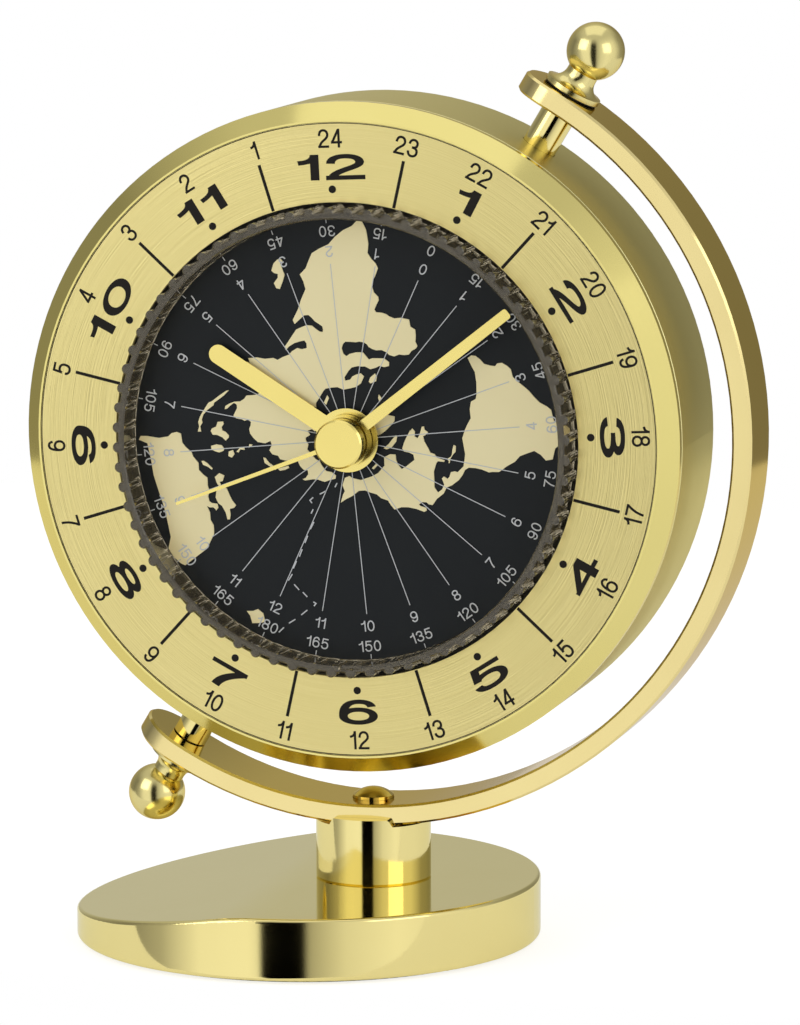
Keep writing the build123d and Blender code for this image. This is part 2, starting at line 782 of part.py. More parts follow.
# World wheel: turns once a day the other way to the hands, and its tube carries the world disc
with BuildPart() as world_wheel:
    with BuildSketch(facing_plane(world_layer - wheel_thickness, dial_lean)):
        with BuildLine():
            Polyline(*gear_outline(world_wheel_teeth, world_module, 0.0), close=True)
        make_face()
    extrude(amount=wheel_thickness)
    with BuildSketch(facing_plane(world_layer)):
        Circle(world_tube_radius)
    extrude(amount=disc_back - world_layer)
    with BuildSketch(facing_plane(disc_back)):
        Circle(world_tube_radius - disc_seat_step)
    extrude(amount=disc_thickness + hand_seat_stand_out)
    with BuildSketch(facing_plane(world_layer - wheel_thickness - overrun)):
        Circle(hour_tube_radius + running_gap)
    extrude(amount=disc_face - world_layer + 3 * overrun, mode=Mode.SUBTRACT)
save(world_wheel, "world_wheel")

# World disc: the black disc with the map
with BuildPart() as world_disc:
    with BuildSketch(facing_plane(disc_back)):
        Circle(disc_radius)
        Circle(world_tube_radius - disc_seat_step + thread_gap / 2, mode=Mode.SUBTRACT)
    extrude(amount=disc_thickness)
save(world_disc, "world_disc")

# Continents: thin gold plates on the disc, in a map that looks straight down on the pole
# Each corner is so many degrees east of the first meridian, at a share of the disc's radius from the pole
land_corners = [
    [
        (21, 1), (23, 0.96), (25.5, 0.94), (28, 0.91), (30, 0.88), (33, 0.865), (35.5, 0.85),
        (37, 0.82), (38.5, 0.79), (41, 0.77), (40.5, 0.735), (40.5, 0.7), (43.5, 0.66), (46, 0.625),
        (50, 0.59), (50, 0.57), (47, 0.58), (44.5, 0.59), (42.5, 0.585), (41.5, 0.57), (40.5, 0.55),
        (39, 0.535), (37.5, 0.52), (37.5, 0.505), (38, 0.495), (39.5, 0.5), (41, 0.515), (42.5, 0.535),
        (45, 0.545), (47.5, 0.545), (50.5, 0.545), (53.5, 0.53), (57, 0.515), (60, 0.505), (60.5, 0.49),
        (58, 0.495), (54.5, 0.495), (51.5, 0.49), (49, 0.485), (48.5, 0.47), (49.5, 0.45),
        (52.5, 0.455), (54.5, 0.47), (58, 0.47), (60.5, 0.465), (64.5, 0.475), (67.5, 0.48),
        (68.5, 0.5), (72, 0.525), (74, 0.555), (77, 0.585), (80, 0.54), (80.5, 0.47), (83.5, 0.445),
        (90, 0.465), (91.5, 0.485), (93, 0.51), (95, 0.515), (97, 0.53), (98, 0.555), (99.5, 0.575),
        (101, 0.59), (102.5, 0.59), (102, 0.58), (100.5, 0.57), (98.5, 0.555), (99, 0.54),
        (100.5, 0.535), (102.5, 0.54), (104.5, 0.545), (105.5, 0.53), (105.5, 0.505), (106, 0.49),
        (105, 0.475), (106, 0.46), (108, 0.46), (110, 0.465), (112.5, 0.46), (115, 0.445),
        (117.5, 0.425), (118.5, 0.39), (117, 0.365), (120, 0.36), (123.5, 0.375), (126.5, 0.365),
        (128.5, 0.34), (131.5, 0.335), (133.5, 0.315), (135, 0.29), (137.5, 0.26), (143.5, 0.26),
        (148.5, 0.255), (151.5, 0.24), (155, 0.25), (156, 0.27), (155, 0.285), (157.5, 0.28),
        (162, 0.25), (166.5, 0.235), (170.5, 0.23), (174.5, 0.225), (179, 0.205), (-175, 0.19),
        (-176, 0.175), (176, 0.17), (168.5, 0.18), (159, 0.175), (151.5, 0.17), (145.5, 0.18),
        (129, 0.2), (123, 0.19), (116.5, 0.2), (113.5, 0.2), (109.5, 0.18), (104.5, 0.195),
        (100.5, 0.175), (103, 0.16), (89.5, 0.15), (78.5, 0.185), (67.5, 0.22), (60, 0.23),
        (52.5, 0.245), (49.5, 0.25), (43.5, 0.245), (36.5, 0.24), (30, 0.225), (23, 0.23), (16, 0.24),
        (11.5, 0.26), (10, 0.295), (13.5, 0.305), (17.5, 0.295), (20.5, 0.285), (22.5, 0.27),
        (27.5, 0.265), (28, 0.28), (24, 0.31), (21.5, 0.325), (16.5, 0.335), (14.5, 0.335), (11, 0.34),
        (6.5, 0.335), (3, 0.35), (1, 0.365), (-2.5, 0.37), (-5, 0.385), (-4, 0.4), (0, 0.405),
        (3.5, 0.395), (7.5, 0.385), (9.5, 0.375), (11.5, 0.385), (14.5, 0.4), (19, 0.395),
        (23.5, 0.385), (25.5, 0.375), (27.5, 0.385), (28.5, 0.41), (27.5, 0.43), (26, 0.44),
        (24.5, 0.44), (21.5, 0.44), (19.5, 0.44), (17.5, 0.445), (15, 0.445), (13, 0.44), (11.5, 0.43),
        (9, 0.425), (6.5, 0.425), (3.5, 0.435), (0.5, 0.435), (-2, 0.43), (-5, 0.435), (-7, 0.455),
        (-9.5, 0.465), (-11.5, 0.48), (-11.5, 0.5), (-12.5, 0.52), (-12.5, 0.535), (-10.5, 0.545),
        (-9, 0.57), (-7.5, 0.59), (-5, 0.59), (-3, 0.615), (-1.5, 0.61), (0.5, 0.605), (3, 0.59),
        (5.5, 0.59), (7, 0.595), (9, 0.595), (11.5, 0.59), (12.5, 0.6), (12, 0.625), (11.5, 0.645),
        (12, 0.66), (14, 0.675), (15, 0.7), (15, 0.73), (14.5, 0.75), (14, 0.785), (15, 0.805),
        (16.5, 0.82), (18, 0.845), (18, 0.885), (18.5, 0.915), (19, 0.945), (19.5, 0.96),
    ],
    [
        (-31, 0.67), (-31, 0.69), (-32, 0.705), (-34, 0.715), (-36, 0.72), (-37.5, 0.74), (-38.5, 0.76),
        (-38, 0.775), (-38.5, 0.795), (-40, 0.81), (-41.5, 0.82), (-44, 0.815), (-45.5, 0.825),
        (-47.5, 0.845), (-49.5, 0.865), (-51.5, 0.88), (-53.5, 0.9), (-55, 0.93), (-56, 0.945),
        (-59, 0.95), (-61.5, 1), (-64, 1), (-66.5, 0.95), (-69.5, 0.94), (-70, 0.91), (-68.5, 0.885),
        (-67.5, 0.855), (-68.5, 0.82), (-69.5, 0.79), (-71.5, 0.77), (-73.5, 0.735), (-76, 0.705),
        (-76.5, 0.675), (-77, 0.66), (-76.5, 0.625), (-76.5, 0.595), (-77, 0.565), (-78.5, 0.55),
        (-81, 0.545), (-84, 0.535), (-87.5, 0.515), (-90, 0.495), (-93.5, 0.495), (-98, 0.48),
        (-102, 0.48), (-103, 0.465), (-103, 0.45), (-104.5, 0.435), (-107, 0.43), (-107, 0.44),
        (-105.5, 0.465), (-106.5, 0.475), (-108, 0.47), (-108.5, 0.46), (-110, 0.435), (-113, 0.405),
        (-116.5, 0.385), (-121.5, 0.375), (-122, 0.35), (-122, 0.325), (-126, 0.3), (-128, 0.275),
        (-133.5, 0.255), (-137.5, 0.24), (-144.5, 0.235), (-152, 0.255), (-158.5, 0.27), (-163.5, 0.29),
        (-162, 0.25), (-160.5, 0.235), (-164, 0.21), (-162, 0.175), (-155, 0.165), (-150, 0.175),
        (-139, 0.19), (-123, 0.195), (-113, 0.2), (-100, 0.2), (-90.5, 0.18), (-83.5, 0.2),
        (-81.5, 0.225), (-87, 0.235), (-90.5, 0.25), (-93, 0.275), (-88.5, 0.29), (-85, 0.3),
        (-81, 0.315), (-77, 0.305), (-76, 0.285), (-76, 0.26), (-73.5, 0.25), (-68, 0.255),
        (-63, 0.265), (-55.5, 0.29), (-56.5, 0.29), (-54.5, 0.3), (-57.5, 0.31), (-61.5, 0.305),
        (-63, 0.32), (-60, 0.33), (-54.5, 0.345), (-54.5, 0.355), (-57, 0.355), (-59, 0.37),
        (-61, 0.355), (-61.5, 0.345), (-65.5, 0.35), (-70.5, 0.37), (-73, 0.38), (-73.5, 0.4),
        (-75.5, 0.415), (-76, 0.45), (-77, 0.45), (-77.5, 0.42), (-79.5, 0.415), (-84.5, 0.415),
        (-89, 0.43), (-93, 0.445), (-94.5, 0.47), (-92, 0.48), (-89, 0.48), (-86.5, 0.46), (-85, 0.465),
        (-85.5, 0.485), (-84, 0.49), (-81.5, 0.49), (-80.5, 0.505), (-80.5, 0.52), (-77, 0.54),
        (-74, 0.54), (-71, 0.54), (-66.5, 0.53), (-63.5, 0.525), (-59.5, 0.54), (-57, 0.555),
        (-54.5, 0.575), (-50.5, 0.58), (-47.5, 0.595), (-47, 0.62), (-45.5, 0.63), (-41, 0.65),
        (-37, 0.665), (-34.5, 0.665),
    ],
    [
        (113.5, 0.805), (114, 0.785), (117, 0.78), (118.5, 0.765), (120.5, 0.74), (122, 0.735),
        (124.5, 0.715), (127, 0.72), (129, 0.705), (130.5, 0.69), (133.5, 0.7), (135.5, 0.7),
        (137, 0.715), (139, 0.72), (140, 0.71), (141, 0.69), (142.5, 0.695), (143, 0.71), (142.5, 0.71),
        (141.5, 0.715), (141, 0.73), (140, 0.74), (142.5, 0.74), (145, 0.755), (147, 0.755),
        (149.5, 0.775), (151, 0.815), (152, 0.845), (152, 0.885), (152, 0.935), (152, 0.975),
        (151, 0.985), (148, 1), (146, 1), (143.5, 0.96), (139, 0.94), (135.5, 0.93), (130.5, 0.93),
        (126, 0.935), (121.5, 0.935), (117, 0.945), (116, 0.985), (115, 0.975), (115, 0.945),
        (115.5, 0.89), (115, 0.845), (114, 0.83),
    ],
    [
        (-32, 0.21), (-38.5, 0.24), (-43, 0.23), (-46, 0.21), (-51.5, 0.175), (-54.5, 0.155),
        (-61, 0.115), (-35.5, 0.1), (-28, 0.145),
    ],
    [
        (45.5, 0.865), (45, 0.85), (46, 0.845), (46, 0.815), (46, 0.79), (47.5, 0.765), (49.5, 0.74),
        (50.5, 0.75), (50.5, 0.775), (48.5, 0.79), (48, 0.805), (49, 0.815), (49.5, 0.83), (48, 0.855),
        (46.5, 0.865),
    ],
    [
        (94.5, 0.605), (94, 0.595), (97, 0.61), (101, 0.645), (102, 0.645), (103, 0.655), (104.5, 0.67),
        (106.5, 0.685), (108.5, 0.69), (109.5, 0.685), (111, 0.695), (113, 0.69), (113, 0.705),
        (111, 0.7), (109.5, 0.705), (107.5, 0.7), (105.5, 0.69), (102.5, 0.675), (101.5, 0.67),
        (100.5, 0.655), (97.5, 0.63),
    ],
    [
        (108.5, 0.615), (108, 0.59), (109, 0.585), (110.5, 0.595), (112, 0.59), (112.5, 0.575),
        (114, 0.56), (115, 0.56), (116.5, 0.575), (115, 0.59), (114, 0.615), (114, 0.635),
        (112.5, 0.645), (111.5, 0.64), (110.5, 0.62),
    ],
    [
        (118.5, 0.645), (118, 0.62), (118.5, 0.595), (120, 0.585), (121, 0.59), (121.5, 0.61),
        (121, 0.625), (120, 0.645),
    ],
    [
        (121.5, 0.565), (121, 0.545), (123, 0.54), (124.5, 0.555), (123.5, 0.57),
    ],
    [
        (122, 0.53), (120, 0.51), (120, 0.49), (121.5, 0.49), (121, 0.51), (122.5, 0.52),
    ],
    [
        (120.5, 0.47), (118.5, 0.465), (119, 0.45), (120, 0.46),
    ],
    [
        (124, 0.7), (124, 0.69), (125, 0.675), (127.5, 0.655), (128, 0.66), (126.5, 0.675),
        (125.5, 0.695),
    ],
    [
        (131, 0.655), (130, 0.63), (131.5, 0.61), (133.5, 0.625), (133.5, 0.64), (135, 0.64),
        (137, 0.62), (140, 0.62), (142.5, 0.62), (145, 0.615), (145.5, 0.63), (145, 0.65), (147, 0.66),
        (148.5, 0.675), (148, 0.685), (145.5, 0.675), (142.5, 0.675), (141, 0.685), (138.5, 0.685),
        (136.5, 0.67), (135, 0.65), (133.5, 0.655),
    ],
    [
        (173, 0.93), (174.5, 0.915), (175.5, 0.895), (177.5, 0.9), (179, 0.93), (178, 0.945),
        (176, 0.965), (174.5, 0.94),
    ],
    [
        (127.5, 0.41), (128, 0.4), (131.5, 0.39), (134.5, 0.375), (137.5, 0.37), (137.5, 0.375),
        (133.5, 0.395), (131, 0.41),
    ],
    [
        (137.5, 0.36), (138, 0.335), (138.5, 0.31), (140.5, 0.31), (140.5, 0.33), (139.5, 0.355),
    ],
    [
        (2, 0.325), (-0.5, 0.315), (-1.5, 0.295), (2.5, 0.275), (4.5, 0.28), (4.5, 0.3),
    ],
    [
        (-10, 0.25), (-14.5, 0.245), (-15.5, 0.225), (-11.5, 0.235),
    ],
    [
        (51, 0.22), (50.5, 0.205), (58.5, 0.185), (59, 0.2),
    ],
    [
        (-72, 0.48), (-69.5, 0.48), (-67, 0.485), (-67.5, 0.495), (-70.5, 0.495), (-72, 0.485),
        (-74.5, 0.475), (-77, 0.475), (-77, 0.47), (-76, 0.47), (-75, 0.46), (-73.5, 0.475),
    ],
    [
        (-78, 0.165), (-70.5, 0.185), (-64.5, 0.2), (-59, 0.22), (-60.5, 0.225), (-66.5, 0.22),
        (-74.5, 0.2), (-78.5, 0.18),
    ],
    [
        (-115.5, 0.165), (-104.5, 0.165), (-106, 0.175), (-114.5, 0.175),
    ],
]

with BuildPart() as continents:
    with BuildSketch(facing_plane(disc_face, dial_lean)):
        for corners in land_corners:
            with BuildLine():
                Polyline(
                    *[polar(disc_radius * share, first_meridian + east) for east, share in corners], close=True
                )
            make_face()
        Circle(disc_radius - land_edge_gap, mode=Mode.INTERSECT)
    extrude(amount=land_height)
save(continents, "continents")

# Clear ring: stands round the world disc and turns with it, its rim scalloped for the fingers
clear_ring_shoulder = disc_back + clear_ring_height - clear_ring_chamfer
clear_ring_top_radius = clear_ring_valley_radius - clear_ring_chamfer
clear_ring_bump_top = clear_ring_bump_radius - clear_ring_chamfer
upwards = (Align.CENTER, Align.CENTER, Align.MIN)
with BuildPart() as clear_ring:
    with BuildSketch(facing_plane(disc_back, dial_lean)):
        Circle(clear_ring_valley_radius)
        with PolarLocations(clear_ring_outer_radius - clear_ring_bump_radius, clear_ring_bumps):
            Circle(clear_ring_bump_radius)
    extrude(amount=clear_ring_height - clear_ring_chamfer)
    with Locations(facing_plane(clear_ring_shoulder, dial_lean)):
        Cone(clear_ring_valley_radius, clear_ring_top_radius, clear_ring_chamfer, align=upwards)
        with PolarLocations(clear_ring_outer_radius - clear_ring_bump_radius, clear_ring_bumps):
            Cone(clear_ring_bump_radius, clear_ring_bump_top, clear_ring_chamfer, align=upwards)
        bore_mouth_radius = clear_ring_inner_radius + clear_ring_chamfer
        Cone(clear_ring_inner_radius, bore_mouth_radius, clear_ring_chamfer, align=upwards, mode=Mode.SUBTRACT)
    with BuildSketch(facing_plane(disc_back, dial_lean)):
        Circle(clear_ring_inner_radius)
    extrude(amount=clear_ring_height, mode=Mode.SUBTRACT)
    notch_floor = disc_back + clear_ring_height - clear_ring_notch_depth
    with BuildSketch(facing_plane(notch_floor, dial_lean, 0, -clear_ring_inner_radius)):
        Rectangle(clear_ring_notch_width, 2 * clear_ring_notch_reach)
    extrude(amount=clear_ring_notch_depth + overrun, mode=Mode.SUBTRACT)
save(clear_ring, "clear_ring")

# Hands point clockwise from twelve, and the whole dial leans
hour_turn = dial_lean - (shown_hour + shown_minute / 60) * 30
minute_turn = dial_lean - shown_minute * 6
second_turn = dial_lean - shown_second * 6

with BuildPart() as hour_hand:
    with BuildSketch(facing_plane(hour_hand_back, hour_turn)):
        Circle(hour_boss_radius)
        with Locations((0, (hour_hand_length - hour_hand_width / 2) / 2)):
            Rectangle(hour_hand_width, hour_hand_length - hour_hand_width / 2)
        with Locations((0, hour_hand_length - hour_hand_width / 2)):
            Circle(hour_hand_width / 2)
        Circle(hour_tube_radius - hand_seat_step + thread_gap / 2, mode=Mode.SUBTRACT)
    extrude(amount=hand_thickness)
save(hour_hand, "hour_hand")

# Outline of the minute hand, from its root up one side, round the two corners of the tip and back down
tip_side = minute_hand_tip_width / 2 - minute_tip_corner
minute_corner = [polar(minute_tip_corner, angle) for angle in (0, 30, 60, 90)]
minute_right = [(tip_side + x, minute_hand_length - minute_tip_corner + y) for x, y in minute_corner]
minute_left = [(-x, y) for x, y in reversed(minute_right)]
minute_root = minute_hand_root_width / 2
minute_outline = [(minute_root, 0), *minute_right, *minute_left, (-minute_root, 0)]
with BuildPart() as minute_hand:
    with BuildSketch(facing_plane(minute_hub_back)):
        Circle(minute_boss_radius)
    extrude(amount=minute_hub_thickness)
    with BuildSketch(facing_plane(minute_bar_back, minute_turn)):
        with BuildLine():
            Polyline(*minute_outline, close=True)
        make_face()
    extrude(amount=hand_thickness)
    with BuildSketch(facing_plane(minute_hub_back)):
        Circle(minute_tube_radius - hand_seat_step + thread_gap / 2)
    extrude(amount=minute_hub_thickness, mode=Mode.SUBTRACT)
save(minute_hand, "minute_hand")

second_hand_front = second_hand_back + second_hand_thickness
with BuildPart() as second_hand:
    with BuildSketch(facing_plane(second_hand_back, second_turn)):
        Circle(second_boss_radius)
        with BuildLine():
            Polyline(
                (-second_hand_root_width / 2, 0),
                (second_hand_root_width / 2, 0),
                (second_hand_tip_width / 2, second_hand_length),
                (-second_hand_tip_width / 2, second_hand_length),
                close=True,
            )
        make_face()
        Circle(second_arbor_radius + thread_gap / 2, mode=Mode.SUBTRACT)
    extrude(amount=second_hand_thickness)
save(second_hand, "second_hand")

cap_bore_depth = hand_cap_thickness / 2
with BuildPart() as hand_cap:
    with BuildSketch(facing_plane(second_hand_front)):
        Circle(hand_cap_radius)
    extrude(amount=hand_cap_thickness)
    chamfer(hand_cap.edges().filter_by(GeomType.CIRCLE).sort_by(Axis.Y)[0], hand_cap_chamfer)
    with BuildSketch(facing_plane(second_hand_front)):
        Circle(second_arbor_radius + thread_gap / 2)
    extrude(amount=cap_bore_depth, mode=Mode.SUBTRACT)
save(hand_cap, "hand_cap")

# Hour wheel and its tube
with BuildPart() as hour_wheel:
    with BuildSketch(facing_plane(hour_layer - wheel_thickness, dial_lean)):
        with BuildLine():
            Polyline(*gear_outline(hour_wheel_teeth, hour_module, 0.0), close=True)
        make_face()
    extrude(amount=wheel_thickness)
    with BuildSketch(facing_plane(hour_layer)):
        Circle(hour_tube_radius)
    extrude(amount=hour_hand_back - hour_layer)
    with BuildSketch(facing_plane(hour_hand_back)):
        Circle(hour_tube_radius - hand_seat_step)
    extrude(amount=hand_thickness + hand_seat_stand_out)
    with BuildSketch(facing_plane(hour_layer - wheel_thickness - overrun)):
        Circle(minute_tube_radius + running_gap)
    extrude(amount=hour_hand_back - hour_layer + 3 * overrun, mode=Mode.SUBTRACT)
save(hour_wheel, "hour_wheel")

# Centre arbor: the tube of the minute hand, with the centre wheel behind and the cannon pinion in front
with BuildPart() as centre_arbor:
    with BuildSketch(facing_plane(centre_layer - wheel_thickness, dial_lean)):
        with BuildLine():
            Polyline(*gear_outline(centre_wheel_teeth, centre_module, 0.0), close=True)
        make_face()
    extrude(amount=wheel_thickness)
    with BuildSketch(facing_plane(cannon_layer - wheel_thickness, dial_lean)):
        with BuildLine():
            Polyline(*gear_outline(cannon_teeth, cannon_module, 0.0, leaf=True), close=True)
        make_face()
    extrude(amount=wheel_thickness)
    with BuildSketch(facing_plane(centre_layer)):
        Circle(minute_tube_radius)
    extrude(amount=minute_hub_back - centre_layer)
    with BuildSketch(facing_plane(minute_hub_back)):
        Circle(minute_tube_radius - hand_seat_step)
    extrude(amount=minute_hub_thickness + hand_seat_stand_out)
    with BuildSketch(facing_plane(centre_layer - wheel_thickness - overrun)):
        Circle(second_arbor_radius + running_gap)
    extrude(amount=minute_hub_back - centre_layer + 3 * overrun, mode=Mode.SUBTRACT)
save(centre_arbor, "centre_arbor")

# Second arbor: runs through all the tubes, from the floor of the housing to the cap
with BuildPart() as second_arbor:
    with BuildSketch(facing_plane(housing_inner - pivot_length)):
        Circle(second_arbor_radius)
    extrude(amount=second_hand_front + cap_bore_depth - drop_in_gap - housing_inner + pivot_length)
    with BuildSketch(facing_plane(third_layer - wheel_thickness, dial_lean)):
        with BuildLine():
            Polyline(*gear_outline(second_pinion_teeth, third_module, 0.0, leaf=True), close=True)
        make_face()
    extrude(amount=wheel_thickness)
    with BuildSketch(facing_plane(second_layer - wheel_thickness, dial_lean)):
        with BuildLine():
            Polyline(*gear_outline(second_wheel_teeth, second_module, 0.0), close=True)
        make_face()
    extrude(amount=wheel_thickness)
save(second_arbor, "second_arbor")

# Third wheel: its pinion drives the centre wheel
with BuildPart() as third_wheel:
    with BuildSketch(facing_plane(housing_inner + drop_in_gap, dial_lean, *third_place)):
        Circle(arbor_radius)
    extrude(amount=main_plate_back - housing_inner - 2 * drop_in_gap)
    with BuildSketch(facing_plane(housing_inner - pivot_length + drop_in_gap, dial_lean, *third_place)):
        Circle(pivot_radius)
    extrude(amount=main_plate_back - housing_inner + 2 * (pivot_length - drop_in_gap))
    with BuildSketch(facing_plane(centre_layer - wheel_thickness, dial_lean, *third_place)):
        with BuildLine():
            Polyline(*gear_outline(third_pinion_teeth, centre_module, third_pinion_turn, leaf=True), close=True)
        make_face()
    extrude(amount=wheel_thickness)
    with BuildSketch(facing_plane(third_layer - wheel_thickness, dial_lean, *third_place)):
        with BuildLine():
            Polyline(*gear_outline(third_wheel_teeth, third_module, third_wheel_turn), close=True)
        make_face()
    extrude(amount=wheel_thickness)
save(third_wheel, "third_wheel")

# Fifth wheel: takes the rotor's steps and drives the second wheel
with BuildPart() as fifth_wheel:
    with BuildSketch(facing_plane(housing_inner + drop_in_gap, dial_lean, *fifth_place)):
        Circle(arbor_radius)
    extrude(amount=main_plate_back - housing_inner - 2 * drop_in_gap)
    with BuildSketch(facing_plane(housing_inner - pivot_length + drop_in_gap, dial_lean, *fifth_place)):
        Circle(pivot_radius)
    extrude(amount=main_plate_back - housing_inner + 2 * (pivot_length - drop_in_gap))
    with BuildSketch(facing_plane(second_layer - wheel_thickness, dial_lean, *fifth_place)):
        with BuildLine():
            Polyline(*gear_outline(fifth_pinion_teeth, second_module, fifth_pinion_turn, leaf=True), close=True)
        make_face()
    extrude(amount=wheel_thickness)
    with BuildSketch(facing_plane(fifth_layer - wheel_thickness, dial_lean, *fifth_place)):
        with BuildLine():
            Polyline(*gear_outline(fifth_wheel_teeth, fifth_module, 0.0), close=True)
        make_face()
    extrude(amount=wheel_thickness)
save(fifth_wheel, "fifth_wheel")

# Rotor: a small magnet on a pinion, stepped by the coil once a second
with BuildPart() as rotor:
    with BuildSketch(facing_plane(housing_inner - pivot_length + drop_in_gap, dial_lean, *rotor_place)):
        Circle(pivot_radius)
    extrude(amount=main_plate_back - housing_inner + 2 * (pivot_length - drop_in_gap))
    with BuildSketch(facing_plane(magnet_back, dial_lean, *rotor_place)):
        Circle(magnet_radius)
    extrude(amount=magnet_length)
    with BuildSketch(facing_plane(fifth_layer - wheel_thickness, dial_lean, *rotor_place)):
        with BuildLine():
            Polyline(*gear_outline(rotor_pinion_teeth, fifth_module, rotor_pinion_turn, leaf=True), close=True)
        make_face()
    extrude(amount=magnet_back - fifth_layer + wheel_thickness)
save(rotor, "rotor")

# Motion wheel: turns on a fixed stud between the cannon pinion and the hour wheel
with BuildPart() as motion_wheel:
    with BuildSketch(facing_plane(cannon_layer - wheel_thickness, dial_lean, *motion_place)):
        with BuildLine():
            Polyline(*gear_outline(motion_wheel_teeth, cannon_module, motion_wheel_turn), close=True)
        make_face()
    extrude(amount=wheel_thickness)
    with BuildSketch(facing_plane(cannon_layer, dial_lean, *motion_place)):
        with BuildLine():
            Polyline(*gear_outline(motion_pinion_teeth, hour_module, motion_pinion_turn, leaf=True), close=True)
        make_face()
    extrude(amount=hour_layer - cannon_layer)
    with BuildSketch(facing_plane(cannon_layer - wheel_thickness - overrun, dial_lean, *motion_place)):
        Circle(stud_radius + running_gap)
    extrude(amount=hour_layer - cannon_layer + wheel_thickness + 2 * overrun, mode=Mode.SUBTRACT)
save(motion_wheel, "motion_wheel")

# Idler: carries the drive round to the world wheel, on a stud in the front plate
with BuildPart() as idler_wheel:
    with BuildSketch(facing_plane(hour_layer - wheel_thickness, dial_lean, *idler_place)):
        with BuildLine():
            Polyline(*gear_outline(idler_wheel_teeth, hour_module, idler_wheel_turn), close=True)
        make_face()
    extrude(amount=wheel_thickness)
    with BuildSketch(facing_plane(hour_layer, dial_lean, *idler_place)):
        with BuildLine():
            Polyline(*gear_outline(idler_pinion_teeth, world_module, idler_pinion_turn, leaf=True), close=True)
        make_face()
    extrude(amount=world_layer - hour_layer)
    with BuildSketch(facing_plane(hour_layer - wheel_thickness - overrun, dial_lean, *idler_place)):
        Circle(stud_radius + running_gap)
    extrude(amount=world_layer - hour_layer + wheel_thickness + 2 * overrun, mode=Mode.SUBTRACT)
save(idler_wheel, "idler_wheel")

# Set shaft: its pinion meshes with the motion wheel, and it reaches out through the back cover
knob_front = cover_back - knob_stand_off
with BuildPart() as set_shaft:
    with BuildSketch(facing_plane(knob_front - knob_length / 2, dial_lean, *set_place)):
        Circle(set_shaft_radius)
    extrude(amount=housing_front + front_plate_thickness / 2 - knob_front + knob_length / 2)
    with BuildSketch(facing_plane(cannon_layer - wheel_thickness, dial_lean, *set_place)):
        with BuildLine():
            Polyline(*gear_outline(set_pinion_teeth, cannon_module, set_pinion_turn), close=True)
        make_face()
    extrude(amount=wheel_thickness)
save(set_shaft, "set_shaft")

# Set knob on the back
with BuildPart() as set_knob:
    with BuildSketch(facing_plane(knob_front - knob_length, dial_lean, *set_place)):
        Circle(knob_radius)
        with PolarLocations(knob_radius + knob_grip_radius / 2, knob_grips):
            Circle(knob_grip_radius, mode=Mode.SUBTRACT)
    extrude(amount=knob_length)
    with BuildSketch(facing_plane(knob_front - knob_length / 2, dial_lean, *set_place)):
        Circle(set_shaft_radius + thread_gap / 2)
    extrude(amount=knob_length / 2, mode=Mode.SUBTRACT)
save(set_knob, "set_knob")

# Movement housing: an open box with a pillar in each corner and a bearing hole for each arbor
stator_posts = [
    (stator_left + stator_leg_width / 2, (stator_bar_bottom + stator_bar_top) / 2),
    (stator_right - stator_leg_width / 2, (stator_bar_bottom + stator_bar_top) / 2),
]
with BuildPart() as movement_housing:
    with BuildSketch(facing_plane(housing_back, dial_lean)):
        RectangleRounded(housing_width, housing_width, housing_corner_radius)
    extrude(amount=housing_front - housing_back)
    with BuildSketch(facing_plane(housing_inner, dial_lean)):
        RectangleRounded(
            housing_width - 2 * housing_wall,
            housing_width - 2 * housing_wall,
            housing_corner_radius - housing_wall,
        )
    extrude(amount=housing_front - housing_inner + overrun, mode=Mode.SUBTRACT)
    with BuildSketch(facing_plane(housing_inner, dial_lean)):
        with GridLocations(pillar_spacing, pillar_spacing, 2, 2):
            Circle(pillar_radius)
    extrude(amount=main_plate_back - housing_inner)
    with BuildSketch(facing_plane(housing_inner, dial_lean)):
        with Locations(*stator_posts):
            Circle(stator_post_radius)
    extrude(amount=stator_back - housing_inner)
    with BuildSketch(facing_plane(housing_back - overrun, dial_lean)):
        with GridLocations(pillar_spacing, pillar_spacing, 2, 2):
            Circle(movement_screw_radius + drop_in_gap)
    extrude(amount=main_plate_back - housing_back + 2 * overrun, mode=Mode.SUBTRACT)
    with BuildSketch(facing_plane(housing_inner, dial_lean)):
        Circle(second_arbor_radius + running_gap)
        with Locations(third_place, fifth_place, rotor_place):
            Circle(pivot_radius + running_gap)
    extrude(amount=-pivot_length, mode=Mode.SUBTRACT)
    with BuildSketch(facing_plane(housing_back - overrun, dial_lean)):
        with Locations(set_place):
            Circle(set_shaft_radius + running_gap)
    extrude(amount=housing_floor + 2 * overrun, mode=Mode.SUBTRACT)
save(movement_housing, "movement_housing")

# Main plate: the bearing plate between the going train behind and the motion work in front
main_plate_width = housing_width - 2 * housing_wall - 2 * drop_in_gap
with BuildPart() as main_plate:
    with BuildSketch(facing_plane(main_plate_back, dial_lean)):
        RectangleRounded(main_plate_width, main_plate_width, housing_corner_radius - housing_wall)
        Circle(minute_tube_radius + running_gap, mode=Mode.SUBTRACT)
        with Locations(motion_place):
            Circle(stud_radius, mode=Mode.SUBTRACT)
        with Locations(set_place):
            Circle(set_shaft_radius + running_gap, mode=Mode.SUBTRACT)
        with GridLocations(pillar_spacing, pillar_spacing, 2, 2):
            Circle(movement_screw_radius + drop_in_gap, mode=Mode.SUBTRACT)
    extrude(amount=main_plate_thickness)
    with BuildSketch(facing_plane(main_plate_back, dial_lean)):
        with Locations(third_place, fifth_place, rotor_place):
            Circle(pivot_radius + running_gap)
    extrude(amount=pivot_length, mode=Mode.SUBTRACT)
save(main_plate, "main_plate")

